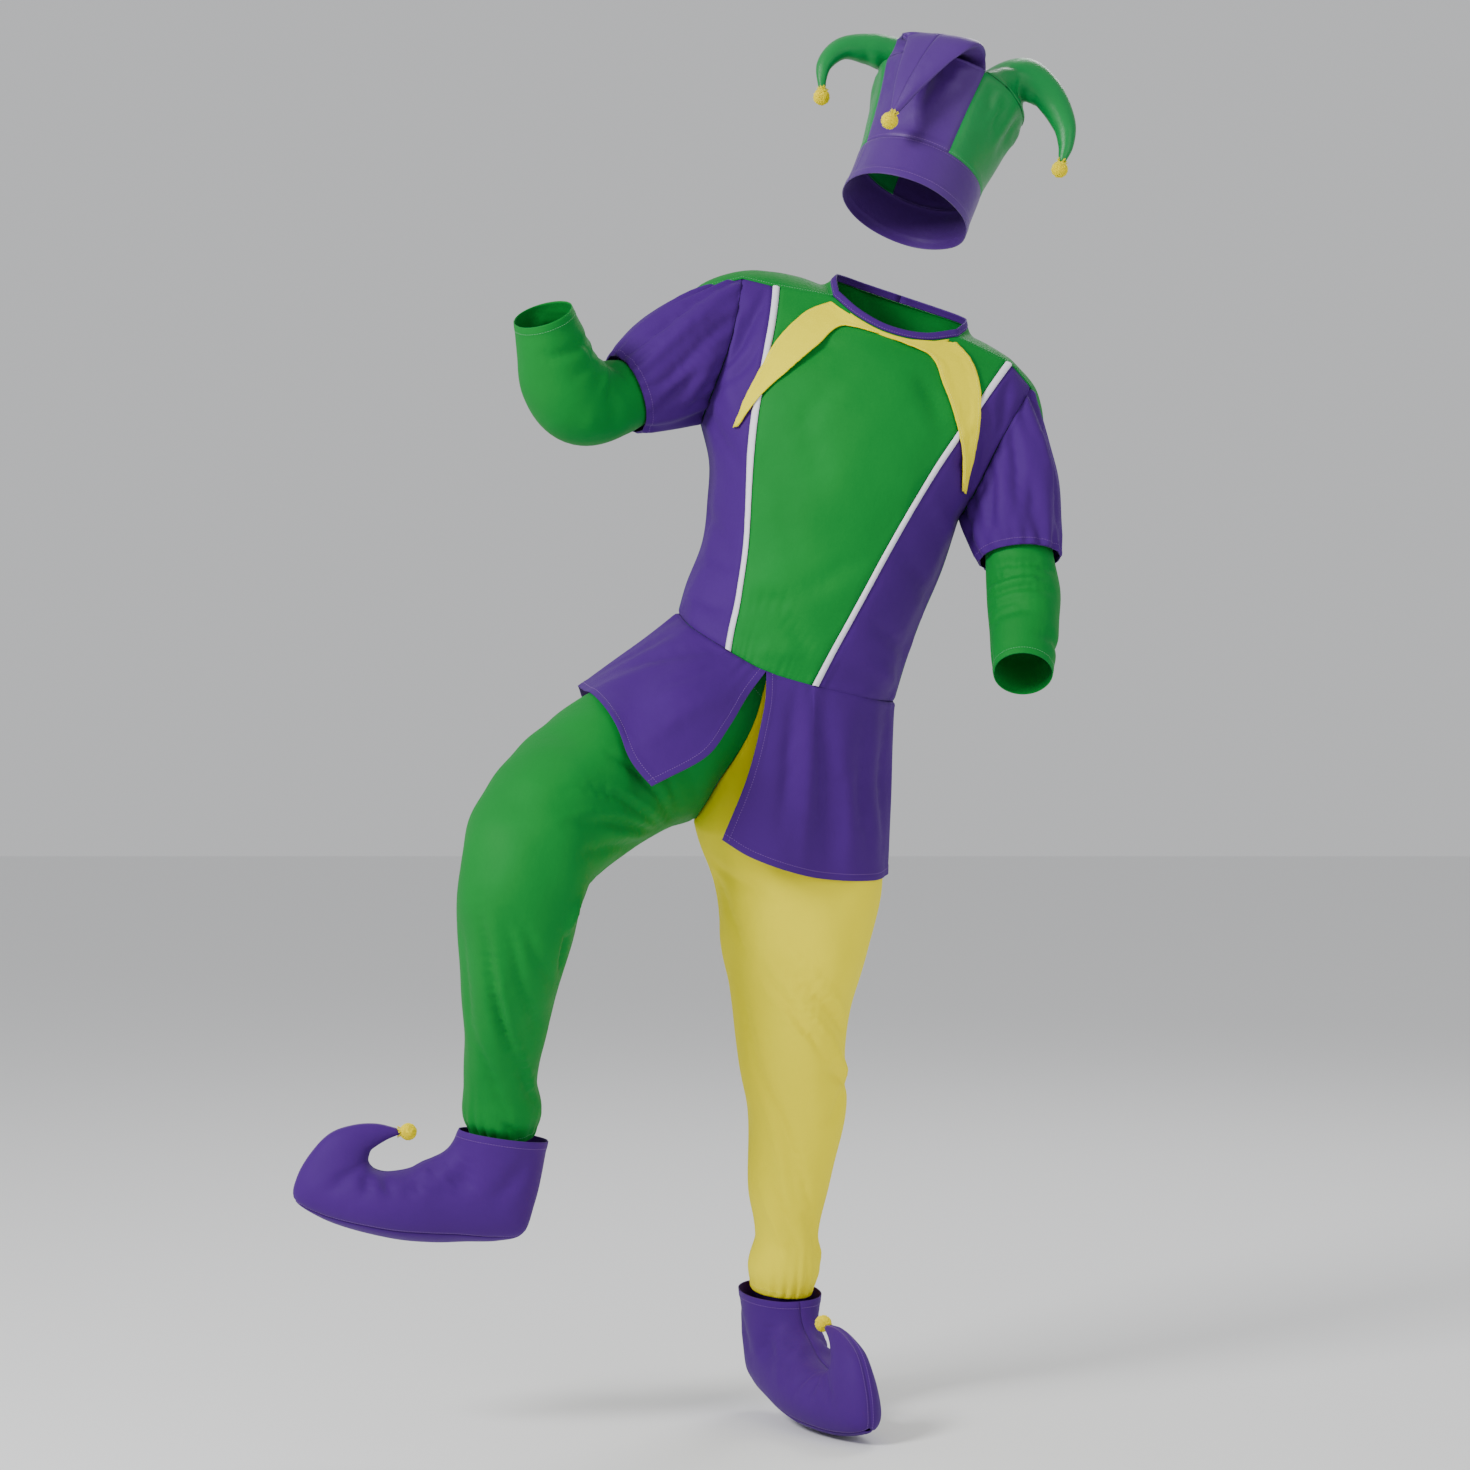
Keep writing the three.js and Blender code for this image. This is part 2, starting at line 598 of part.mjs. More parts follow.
// Trousers: each leg is one piece, from the centre seam round the outside to the centre seam,
// and below the crotch it closes on its own inseam. open is half the part of the ring that is left out.
const LEG_RIGHT = [
  { at: 0, x: -167, y: -8, z: -503, wide: 286, deep: 196, open: 90 },
  { at: 0.1, x: -208, y: -14, z: -548, wide: 288, deep: 204, open: 82 },
  { at: 0.2, x: -286, y: -42, z: -584, wide: 240, deep: 204, open: 42 },
  { at: 0.3, x: -358, y: -84, z: -614, wide: 206, deep: 196, open: 0 },
  { at: 0.42, x: -425, y: -150, z: -660, wide: 200, deep: 190, open: 0 },
  { at: 0.54, x: -480, y: -232, z: -722, wide: 178, deep: 174, open: 0 },
  { at: 0.62, x: -497, y: -258, z: -778, wide: 164, deep: 164, open: 0 },
  { at: 0.7, x: -504, y: -255, z: -838, wide: 148, deep: 150, open: 0 },
  { at: 0.78, x: -513, y: -232, z: -898, wide: 127, deep: 132, open: 0 },
  { at: 0.87, x: -524, y: -197, z: -972, wide: 108, deep: 112, open: 0 },
  { at: 0.94, x: -530, y: -160, z: -1040, wide: 94, deep: 98, open: 0 },
  { at: 0.975, x: -529, y: -140, z: -1082, wide: 102, deep: 102, open: 0 },
  { at: 1, x: -529, y: -131, z: -1114, wide: 78, deep: 76, open: 0 },
];
const LEG_LEFT = [
  { at: 0, x: -167, y: -8, z: -503, wide: 286, deep: 196, open: 90 },
  { at: 0.1, x: -190, y: -4, z: -572, wide: 306, deep: 212, open: 88 },
  { at: 0.18, x: -176, y: 0, z: -638, wide: 272, deep: 216, open: 60 },
  { at: 0.3, x: -150, y: 0, z: -712, wide: 256, deep: 208, open: 0 },
  { at: 0.38, x: -138, y: 2, z: -777, wide: 232, deep: 198, open: 0 },
  { at: 0.48, x: -141, y: 5, z: -865, wide: 200, deep: 180, open: 0 },
  { at: 0.58, x: -146, y: 10, z: -950, wide: 163, deep: 160, open: 0 },
  { at: 0.67, x: -146, y: 15, z: -1011, wide: 147, deep: 148, open: 0 },
  { at: 0.76, x: -140, y: 25, z: -1092, wide: 133, deep: 130, open: 0 },
  { at: 0.88, x: -150, y: 40, z: -1202, wide: 109, deep: 112, open: 0 },
  { at: 0.95, x: -151, y: 50, z: -1275, wide: 88, deep: 92, open: 0 },
  { at: 0.98, x: -156, y: 54, z: -1316, wide: 98, deep: 100, open: 0 },
  { at: 1, x: -160, y: 57, z: -1350, wide: 80, deep: 82, open: 0 },
];
const CENTRE_SEAM_FRONT = [
  { at: 0, x: -180, y: -103, z: -506 },
  { at: 1.6, x: -195, y: -106, z: -562 },
  { at: 3, x: -216, y: -98, z: -605 },
  { at: 4.5, x: -248, y: -72, z: -652 },
  { at: 6, x: -278, y: -18, z: -698 },
];
const CENTRE_SEAM_BACK = [
  { at: 0, x: -168, y: 90, z: -500 },
  { at: 2, x: -202, y: 108, z: -570 },
  { at: 4, x: -240, y: 88, z: -640 },
  { at: 6, x: -278, y: -18, z: -698 },
];
const CROTCH_AT = 0.3;
const CROTCH_FADE = 0.13;
const INSEAM_APART = 2;
const SEAM_REACH = 0.34;
const seamFront = pointsAlong(CENTRE_SEAM_FRONT);
const seamBack = pointsAlong(CENTRE_SEAM_BACK);

function leg(table, side) {
  const rows = SEAT_ROWS + LEG_ROWS;
  const placeAt = (row) => (row <= SEAT_ROWS
    ? (CROTCH_AT * row) / SEAT_ROWS
    : CROTCH_AT + ((1 - CROTCH_AT) * (row - SEAT_ROWS)) / LEG_ROWS);
  const fine = ringFrames(table, rows * 20, FRONT, side);
  const grid = [];
  for (let row = 0; row <= rows; row += 1) {
    const frame = fine[Math.round(placeAt(row) * rows * 20)];
    const open = row < SEAT_ROWS ? THREE.MathUtils.degToRad(Math.max(frame.open, 0)) : 0;
    const line = Array.from({ length: LEG_AROUND + 1 }, (_, col) => (
      ringPoint(frame, open + ((2 * Math.PI - 2 * open) * col) / LEG_AROUND)
    ));
    const seamRow = Math.min(row, SEAT_ROWS);
    const past = Math.max(placeAt(row) - CROTCH_AT, 0) / CROTCH_FADE;
    const keep = Math.max(1 - past, 0) ** 2;
    const toFront = seamFront[seamRow].clone().sub(row > SEAT_ROWS ? grid.crotchStart : line[0]);
    const toBack = seamBack[seamRow].clone().sub(row > SEAT_ROWS ? grid.crotchStart : line[LEG_AROUND]);
    if (row === SEAT_ROWS) grid.crotchStart = line[0].clone();
    if (row > SEAT_ROWS) toFront.addScaledVector(frame.inner, -INSEAM_APART);
    if (row > SEAT_ROWS) toBack.addScaledVector(frame.inner, -INSEAM_APART);
    grid.push(line.map((point, col) => {
      const share = col / LEG_AROUND;
      const nearFront = Math.max(1 - share / SEAM_REACH, 0) ** 2;
      const nearBack = Math.max(1 - (1 - share) / SEAM_REACH, 0) ** 2;
      const moved = point.clone().addScaledVector(toFront, nearFront * keep);
      return moved.addScaledVector(toBack, nearBack * keep);
    }));
  }
  return grid;
}

const FOLDS_RIGHT_LEG = [
  { row: 0.3, col: 0.05, toRow: 0.42, toCol: 0.28, wide: 20, high: -6 },
  { row: 0.32, col: 0.9, toRow: 0.46, toCol: 0.75, wide: 20, high: -6 },
  { row: 0.62, col: 0.15, toRow: 0.8, toCol: 0.4, wide: 17, high: 5 },
  { row: 0.6, col: 0.9, toRow: 0.62, toCol: 0.1, wide: 18, high: -6 },
  { row: 0.7, col: 0.05, toRow: 0.9, toCol: 0.3, wide: 15, high: -5 },
  { row: 0.72, col: 0.6, toRow: 0.9, toCol: 0.8, wide: 15, high: -5 },
];
const FOLDS_LEFT_LEG = [
  { row: 0.55, col: 0.1, toRow: 0.66, toCol: 0.4, wide: 18, high: -5 },
  { row: 0.62, col: 0.08, toRow: 0.76, toCol: 0.36, wide: 17, high: 5 },
  { row: 0.72, col: 0.1, toRow: 0.88, toCol: 0.36, wide: 15, high: -5 },
  { row: 0.55, col: 0.6, toRow: 0.75, toCol: 0.85, wide: 17, high: -5 },
];
const legRight = fold(leg(LEG_RIGHT, -1), FOLDS_RIGHT_LEG);
const legLeft = fold(leg(LEG_LEFT, 1), FOLDS_LEFT_LEG);
cloth('leg_right', 'green', legRight, costume);
cloth('leg_left', 'yellow', legLeft, costume);

// Peplum: two front flaps that part at the centre front, and a back, all on the waist seam
const SIDE_HEM_RIGHT = [
  { at: 0, x: -157, y: 0, z: -491 },
  { at: 2, x: -191, y: 2, z: -540 },
  { at: 3.5, x: -222, y: 2, z: -582 },
  { at: 5, x: -255, y: 0, z: -628 },
];
const SLIT_RIGHT = [
  { at: 0, x: -18, y: -122, z: -532 },
  { at: 1, x: -31, y: -137, z: -570 },
  { at: 2.2, x: -42, y: -168, z: -618 },
  { at: 3.4, x: -58, y: -204, z: -664 },
  { at: 5, x: -113, y: -240, z: -722 },
];
const HEM_RIGHT = [
  { at: 0, x: -255, y: 0, z: -628 },
  { at: 1.5, x: -240, y: -72, z: -633 },
  { at: 3, x: -214, y: -136, z: -648 },
  { at: 5, x: -180, y: -190, z: -672 },
  { at: 7, x: -146, y: -224, z: -702 },
  { at: 9, x: -113, y: -240, z: -722 },
];
const SIDE_HEM_LEFT = [
  { at: 0, x: 161, y: 0, z: -515 },
  { at: 1.5, x: 179, y: 3, z: -578 },
  { at: 3, x: 199, y: 3, z: -646 },
  { at: 5, x: 224, y: 0, z: -741 },
];
const SLIT_LEFT = [
  { at: 0, x: -18, y: -122, z: -532 },
  { at: 1, x: -6, y: -133, z: -577 },
  { at: 3, x: 1, y: -143, z: -670 },
  { at: 5, x: -5, y: -147, z: -762 },
];
const HEM_LEFT = [
  { at: 9, x: -5, y: -147, z: -762 },
  { at: 11, x: 36, y: -146, z: -772 },
  { at: 13, x: 88, y: -134, z: -775 },
  { at: 15, x: 140, y: -105, z: -771 },
  { at: 17, x: 200, y: -45, z: -756 },
  { at: 18, x: 224, y: 0, z: -741 },
];
const HEM_BACK = [
  { at: 0, x: -255, y: 0, z: -628 },
  { at: 3, x: -238, y: 68, z: -650 },
  { at: 7, x: -160, y: 130, z: -690 },
  { at: 13, x: -10, y: 152, z: -728 },
  { at: 19, x: 128, y: 122, z: -745 },
  { at: 23, x: 204, y: 62, z: -748 },
  { at: 26, x: 224, y: 0, z: -741 },
];

// The peplum lies on the trousers: a point that would be in a leg goes straight out of it
const REST_GAP = 5;
tunic.updateMatrix();
const toTunic = tunic.matrix.clone().invert();
const legFrames = [[LEG_RIGHT, -1], [LEG_LEFT, 1]].flatMap(([table, side]) => (
  ringFrames(table, 60, FRONT, side).slice(0, 36)
));
function offLegs(point) {
  const world = point.clone().applyMatrix4(tunic.matrix);
  let near = legFrames[0];
  for (const frame of legFrames) {
    if (frame.centre.distanceTo(world) < near.centre.distanceTo(world)) near = frame;
  }
  const from = world.clone().sub(near.centre);
  const across = from.dot(near.inner) / (near.wide / 2 + REST_GAP);
  const forward = from.dot(near.facing) / (near.deep / 2 + REST_GAP);
  const reach = Math.hypot(across, forward);
  if (reach >= 1) return point;
  return near.centre.clone().addScaledVector(from, 1 / reach).applyMatrix4(toTunic);
}
const settled = (points) => points.map((line, row) => (row === 0 ? line : line.map(offLegs)));

const sideHemRight = pointsAlong(SIDE_HEM_RIGHT);
const sideHemLeft = pointsAlong(SIDE_HEM_LEFT);
const FLAP_BOW = 14;
const PEPLUM_WAVES = 3;
const PEPLUM_WAVE_DEPTH = 5;
const flapRight = fillBetween(
  waistFront.slice(0, 10),
  pointsAlong(HEM_RIGHT),
  sideHemRight,
  pointsAlong(SLIT_RIGHT),
  (across, down) => {
    const bow = -FLAP_BOW * Math.sin(Math.PI * across) * Math.sin(Math.PI * down);
    return new THREE.Vector3(bow * 0.3, bow, -bow * 0.4);
  },
);
const flapLeft = fillBetween(
  waistFront.slice(9),
  pointsAlong(HEM_LEFT),
  pointsAlong(SLIT_LEFT),
  sideHemLeft,
  noBulge,
);
const peplumBack = fillBetween(
  pointsAlong(WAIST_BACK),
  pointsAlong(HEM_BACK),
  sideHemRight,
  sideHemLeft,
  (across, down) => {
    const wave = Math.sin(Math.PI * across) * Math.cos(2 * Math.PI * PEPLUM_WAVES * across);
    return new THREE.Vector3(0, PEPLUM_WAVE_DEPTH * wave * down, 0);
  },
);
cloth('peplum_front_right', 'purple', settled(flapRight), tunic, HIP_HEART);
cloth('peplum_front_left', 'purple', settled(flapLeft), tunic, HIP_HEART);
cloth('peplum_back', 'purple', settled(peplumBack), tunic, HIP_HEART);

// Boot covers: rungs from the heel, sole and toe line to the collar, instep and curl line
const BOOT_RUNGS = [
  { at: 0, outerX: -57, outerZ: -9, innerX: 58, innerZ: 8, wide: 110 },
  { at: 1, outerX: -49, outerZ: -53, innerX: 69, innerZ: -12, wide: 98 },
  { at: 2, outerX: -39, outerZ: -92, innerX: 79, innerZ: -22, wide: 93 },
  { at: 3, outerX: -25, outerZ: -130, innerX: 91, innerZ: -28, wide: 90 },
  { at: 4, outerX: 8, outerZ: -139, innerX: 105, innerZ: -34, wide: 92 },
  { at: 5, outerX: 52, outerZ: -139, innerX: 121, innerZ: -42, wide: 97 },
  { at: 6, outerX: 92, outerZ: -139, innerX: 138, innerZ: -46, wide: 101 },
  { at: 7, outerX: 142, outerZ: -134, innerX: 155, innerZ: -47, wide: 101 },
  { at: 8, outerX: 199, outerZ: -120, innerX: 168, innerZ: -44, wide: 93 },
  { at: 9, outerX: 243, outerZ: -103, innerX: 175, innerZ: -38, wide: 80 },
  { at: 10, outerX: 274, outerZ: -80, innerX: 178, innerZ: -31, wide: 66 },
  { at: 11, outerX: 271, outerZ: -52, innerX: 177, innerZ: -24, wide: 56 },
  { at: 12, outerX: 254, outerZ: -22, innerX: 174, innerZ: -17, wide: 47 },
  { at: 13, outerX: 229, outerZ: 4, innerX: 167, innerZ: -12, wide: 38 },
  { at: 14, outerX: 199, outerZ: 15, innerX: 160, innerZ: -8, wide: 27 },
  { at: 15, outerX: 169, outerZ: 17, innerX: 150, innerZ: -3, wide: 17 },
  { at: 16, outerX: 142, outerZ: 11, innerX: 136, innerZ: 2, wide: 9 },
];
const BOOTS = [
  { side: 'right', x: -528, y: -134, z: -1112, turn: 188, dip: 0 },
  { side: 'left', x: -162, y: 56, z: -1349, turn: -62, dip: 15 },
];
const FIRST_SOLE_RUNG = 3;
const LAST_SOLE_RUNG = 10;

function bootRing(rung, angle) {
  const middle = new THREE.Vector3((rung.outerX + rung.innerX) / 2, 0, (rung.outerZ + rung.innerZ) / 2);
  const half = new THREE.Vector3((rung.outerX - rung.innerX) / 2, 0, (rung.outerZ - rung.innerZ) / 2);
  middle.addScaledVector(half, Math.cos(angle));
  middle.y += (rung.wide / 2) * Math.sign(Math.sin(angle)) * Math.abs(Math.sin(angle)) ** 0.85;
  return middle;
}

function soleAngle(rung) {
  const share = (rung - FIRST_SOLE_RUNG) / (LAST_SOLE_RUNG - FIRST_SOLE_RUNG);
  const inside = Math.sin(Math.PI * THREE.MathUtils.clamp(share, 0, 1));
  return THREE.MathUtils.degToRad(SOLE_ANGLE) * inside ** 0.6;
}

const bootTable = columnsOf(BOOT_RUNGS);
for (const { side, x, y, z, turn, dip } of BOOTS) {
  const boot = new THREE.Group();
  boot.position.set(x, y, z);
  boot.rotation.set(0, THREE.MathUtils.degToRad(dip), THREE.MathUtils.degToRad(turn), 'ZYX');
  costume.add(boot);
  const rungs = BOOT_RUNGS.map((rung) => rung.at);
  for (const [half, way] of [['outer', 1], ['inner', -1]]) {
    const upper = rungs.map((rung) => Array.from({ length: BOOT_SIDE_COLS + 1 }, (_, col) => {
      const start = soleAngle(rung);
      const angle = start + ((Math.PI - start) * col) / BOOT_SIDE_COLS;
      return bootRing(bootTable(rung), way * angle);
    }));
    cloth(`boot_${half}_${side}`, 'purple', upper, boot);
  }
  const soleRungs = [
    FIRST_SOLE_RUNG + SOLE_TIP,
    ...rungs.slice(FIRST_SOLE_RUNG + 1, LAST_SOLE_RUNG),
    LAST_SOLE_RUNG - SOLE_TIP,
  ];
  const sole = soleRungs.map((rung) => Array.from({ length: BOOT_SOLE_COLS + 1 }, (_, col) => {
    const share = (2 * col) / BOOT_SOLE_COLS - 1;
    const before = Math.floor(rung);
    const from = bootRing(bootTable(before), soleAngle(before) * share);
    const to = bootRing(bootTable(before + 1), soleAngle(before + 1) * share);
    return mixPoints(from, to, rung - before);
  }));
  cloth(`boot_sole_${side}`, 'purple', sole, boot);
  addPompom(`pompom_boot_${side}`, boot, new THREE.Vector3(124.8, 0, 5.5), new THREE.Vector3(1, 0, 0));
}

// Hat: a band, four flared crown panels and a hollow horn that grows from each of them
const HAT_RINGS = [
  { at: 0, x: 88, y: 98 },
  { at: 61, x: 88, y: 96 },
  { at: 130, x: 95, y: 101 },
  { at: 192, x: 106, y: 108 },
];
const HORNS = {
  front: [
    { at: 0, x: -24, y: -48, z: 188, wide: 96, deep: 140 },
    { at: 0.16, x: -30, y: -78, z: 203, wide: 20, deep: 126 },
    { at: 0.34, x: -38, y: -120, z: 196, wide: 18, deep: 106 },
    { at: 0.53, x: -47, y: -131, z: 166, wide: 15, deep: 78 },
    { at: 0.78, x: -56, y: -130, z: 116, wide: 12, deep: 42 },
    { at: 1, x: -61, y: -126, z: 66, wide: 7, deep: 8 },
  ],
  left: [
    { at: 0, x: 49, y: -25, z: 192, wide: 128, deep: 96 },
    { at: 0.2, x: 80, y: -35, z: 228, wide: 66, deep: 60 },
    { at: 0.42, x: 120, y: -44, z: 220, wide: 46, deep: 38 },
    { at: 0.65, x: 156, y: -46, z: 188, wide: 32, deep: 26 },
    { at: 0.83, x: 170, y: -44, z: 160, wide: 20, deep: 17 },
    { at: 1, x: 173, y: -42, z: 134, wide: 8, deep: 7 },
  ],
  back: [
    { at: 0, x: 24, y: 48, z: 192, wide: 128, deep: 96 },
    { at: 0.22, x: 26, y: 52, z: 228, wide: 66, deep: 76 },
    { at: 0.42, x: 34, y: 68, z: 256, wide: 44, deep: 60 },
    { at: 0.64, x: 40, y: 104, z: 262, wide: 30, deep: 38 },
    { at: 0.83, x: 44, y: 134, z: 228, wide: 18, deep: 22 },
    { at: 1, x: 46, y: 138, z: 188, wide: 7, deep: 8 },
  ],
  right: [
    { at: 0, x: -49, y: 25, z: 190, wide: 128, deep: 96 },
    { at: 0.2, x: -82, y: 28, z: 224, wide: 62, deep: 56 },
    { at: 0.42, x: -128, y: 20, z: 218, wide: 42, deep: 36 },
    { at: 0.63, x: -163, y: 12, z: 200, wide: 32, deep: 26 },
    { at: 0.82, x: -177, y: 6, z: 164, wide: 22, deep: 18 },
    { at: 1, x: -167, y: 4, z: 126, wide: 8, deep: 7 },
  ],
};
const hatRing = columnsOf(HAT_RINGS);

function hatPoint(degrees, height) {
  const { x, y } = hatRing(height);
  const angle = THREE.MathUtils.degToRad(degrees);
  return new THREE.Vector3(x * Math.sin(angle), -y * Math.cos(angle), height);
}

const bandCols = 4 * PANEL_COLS;
const band = [0, BAND_HEIGHT / 2, BAND_HEIGHT].map((height) => (
  Array.from({ length: bandCols + 1 }, (_, col) => hatPoint(PANEL_TURN + (360 * col) / bandCols, height))
));
cloth('hat_band', 'purple', band, hat);

function horn(table, turn) {
  const angle = THREE.MathUtils.degToRad(turn + 45);
  const outward = new THREE.Vector3(Math.sin(angle), -Math.cos(angle), 0);
  const across = new THREE.Vector3(Math.cos(angle), Math.sin(angle), 0);
  const rim = Array.from({ length: PANEL_COLS + 1 }, (_, col) => (
    hatPoint(turn + (90 * col) / PANEL_COLS, CROWN_HEIGHT)
  ));
  const middle = new THREE.Vector3(0, 0, CROWN_HEIGHT).addScaledVector(outward, HORN_BASE_INSET * 1.5);
  const first = rim[0].clone().addScaledVector(across, HORN_BASE_INSET);
  const last = rim[PANEL_COLS].clone().addScaledVector(across, -HORN_BASE_INSET);
  const inset = [first, ...rim.slice(1, PANEL_COLS), last];
  const loop = [
    middle,
    mixPoints(middle, first, 0.5),
    ...inset,
    mixPoints(last, middle, 0.5),
    middle,
  ].map((point) => point.clone().add(new THREE.Vector3(0, 0, HORN_BASE_LIFT)));
  const place = columnsOf(table);
  const frames = [];
  for (let row = 0; row <= HORN_ROWS; row += 1) {
    const at = row / HORN_ROWS;
    const ring = place(at);
    const before = place(Math.max(at - 0.02, 0));
    const after = place(Math.min(at + 0.02, 1));
    const along = new THREE.Vector3(after.x - before.x, after.y - before.y, after.z - before.z);
    if (row === 0) along.set(0, 0, 1);
    along.normalize();
    const facing = across.clone().addScaledVector(along, -across.dot(along)).normalize().negate();
    const inner = new THREE.Vector3().crossVectors(along, facing).negate();
    frames.push({ ...ring, centre: new THREE.Vector3(ring.x, ring.y, ring.z), facing, inner, along });
  }
  return { points: tubeFrom(loop, frames, 0.4), tip: frames[HORN_ROWS] };
}

Object.keys(HORNS).forEach((side, quarter) => {
  const turn = PANEL_TURN + 90 * quarter;
  const colour = quarter % 2 === 0 ? 'purple' : 'green';
  const panel = Array.from({ length: CROWN_ROWS + 1 }, (_, row) => {
    const height = THREE.MathUtils.lerp(BAND_HEIGHT, CROWN_HEIGHT, row / CROWN_ROWS);
    return Array.from({ length: PANEL_COLS + 1 }, (_unused, col) => (
      hatPoint(turn + (90 * col) / PANEL_COLS, height)
    ));
  });
  cloth(`crown_${side}`, colour, panel, hat);
  const { points, tip } = horn(HORNS[side], turn);
  cloth(`horn_${side}`, colour, points, hat);
  const seat = tip.centre.clone().addScaledVector(tip.along, POMPOM_CORE + 1.2);
  addPompom(`pompom_hat_${side}`, hat, seat, tip.along.clone().negate());
});

// Pompoms: a round head with a three-sided lock on each face, bare where it is sewn on
function addPompom(name, group, centre, toSeat) {
  const ball = new THREE.OctahedronGeometry(1, 1).getAttribute('position');
  const triangles = [];
  for (let face = 0; face < ball.count; face += 3) {
    const corners = [0, 1, 2].map((k) => (
      new THREE.Vector3().fromBufferAttribute(ball, face + k).multiplyScalar(POMPOM_CORE)
    ));
    const middle = corners[0].clone().add(corners[1]).add(corners[2]).divideScalar(3);
    const facesSeat = middle.clone().normalize().dot(toSeat) > 0.45;
    if (facesSeat) {
      triangles.push(corners);
      continue;
    }
    const root = corners.map((corner) => mixPoints(middle, corner, 0.72));
    const tip = middle.clone().setLength(POMPOM_RADIUS);
    for (let k = 0; k < 3; k += 1) {
      const next = (k + 1) % 3;
      triangles.push([corners[k], corners[next], root[next]]);
      triangles.push([corners[k], root[next], root[k]]);
      triangles.push([root[k], root[next], tip]);
    }
  }
  addMesh(name, 'yellow', triangles, group, centre);
}

function addMesh(name, colour, triangles, group, place = new THREE.Vector3()) {
  const numbers = triangles.flat().flatMap((point) => [point.x, point.y, point.z]);
  const geometry = new THREE.BufferGeometry();
  geometry.setAttribute('position', new THREE.Float32BufferAttribute(numbers, 3));
  geometry.computeVertexNormals();
  const material = new THREE.MeshStandardMaterial({
    color: COLOURS[colour],
    roughness: 0.75,
    metalness: 0,
    side: THREE.FrontSide,
  });
  const mesh = new THREE.Mesh(geometry, material);
  mesh.name = name;
  mesh.position.copy(place);
  group.add(mesh);
}

// Seams: where pieces meet at a point, all take the same way through the wall there
function spotOf(point, group) {
  return [group.id, ...point.toArray().map((value) => Math.round(value * 20))].join(' ');
}

function edgePlaces(points) {
  const rows = points.length - 1;
  const cols = points[0].length - 1;
  const places = [];
  for (let row = 0; row <= rows; row += 1) {
    for (let col = 0; col <= cols; col += 1) {
      if (row === 0 || row === rows || col === 0 || col === cols) places.push([row, col]);
    }
  }
  return places;
}

function shareSeamNormals() {
  const spots = new Map();
  for (const sheet of sheets) {
    for (const [row, col] of edgePlaces(sheet.points)) {
      const spot = spotOf(sheet.points[row][col], sheet.group);
      if (!spots.has(spot)) spots.set(spot, []);
      spots.get(spot).push({ sheet, row, col });
    }
  }
  for (const meeting of spots.values()) {
    const outward = new THREE.Vector3();
    meeting.forEach(({ sheet, row, col }) => {
      outward.addScaledVector(sheet.normals[row][col], sheet.faces);
    });
    outward.normalize();
    meeting.forEach(({ sheet, row, col }) => {
      sheet.normals[row][col] = outward.clone().multiplyScalar(sheet.faces);
    });
  }
}

// Each piece then ends half a seam gap short of its seam line
function pulledIn(sheet) {
  const { points, normals, pullIn } = sheet;
  const rows = points.length - 1;
  const cols = points[0].length - 1;
  const pull = (row, col, neighbour, before, after) => {
    const tangent = after.clone().sub(before);
    const away = new THREE.Vector3().crossVectors(tangent, normals[row][col]);
    if (away.lengthSq() < 1e-9) return new THREE.Vector3();
    away.setLength(pullIn);
    return away.dot(neighbour.clone().sub(points[row][col])) < 0 ? away.negate() : away;
  };
  return points.map((line, row) => line.map((point, col) => {
    const moved = point.clone();
    const left = line[Math.max(col - 1, 0)];
    const right = line[Math.min(col + 1, cols)];
    const below = points[Math.max(row - 1, 0)][col];
    const above = points[Math.min(row + 1, rows)][col];
    if (row === 0) moved.add(pull(row, col, above, left, right));
    if (row === rows) moved.add(pull(row, col, below, left, right));
    if (col === 0) moved.add(pull(row, col, right, below, above));
    if (col === cols) moved.add(pull(row, col, left, below, above));
    return moved;
  }));
}

function addCloth(sheet) {
  const { normals } = sheet;
  const points = pulledIn(sheet);
  const rows = points.length - 1;
  const cols = points[0].length - 1;
  const wallSide = (way) => points.map((line, row) => line.map((point, col) => (
    point.clone().addScaledVector(normals[row][col], (way * WALL) / 2)
  )));
  const outer = wallSide(1);
  const inner = wallSide(-1);
  const triangles = [];
  const square = (a, b, c, d) => {
    for (const three of [[a, b, c], [a, c, d]]) {
      const [p, q, r] = three;
      const distinct = p.distanceTo(q) > 1e-4 && q.distanceTo(r) > 1e-4 && r.distanceTo(p) > 1e-4;
      if (distinct) triangles.push(three);
    }
  };
  for (let row = 0; row < rows; row += 1) {
    for (let col = 0; col < cols; col += 1) {
      square(outer[row][col], outer[row][col + 1], outer[row + 1][col + 1], outer[row + 1][col]);
      square(inner[row][col], inner[row + 1][col], inner[row + 1][col + 1], inner[row][col + 1]);
    }
  }
  for (let col = 0; col < cols; col += 1) {
    square(inner[0][col], inner[0][col + 1], outer[0][col + 1], outer[0][col]);
    square(outer[rows][col], outer[rows][col + 1], inner[rows][col + 1], inner[rows][col]);
  }
  for (let row = 0; row < rows; row += 1) {
    square(outer[row][0], outer[row + 1][0], inner[row + 1][0], inner[row][0]);
    square(inner[row][cols], inner[row + 1][cols], outer[row + 1][cols], outer[row][cols]);
  }
  addMesh(sheet.name, sheet.colour, triangles, sheet.group);
}

shareSeamNormals();
sheets.forEach(addCloth);

export default costume;
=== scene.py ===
# Jester costume, worn and empty: hat, tunic with peplum, trousers and boot covers.
# Every piece is cut from tables of sizes in millimetres, in the same places as the solids,
# and finished finer: seams, hems, creases, gathers, stitches and fuzzy pompoms.
import math
import bpy
import numpy as np
from mathutils import Matrix, Vector
from numpy.linalg import norm


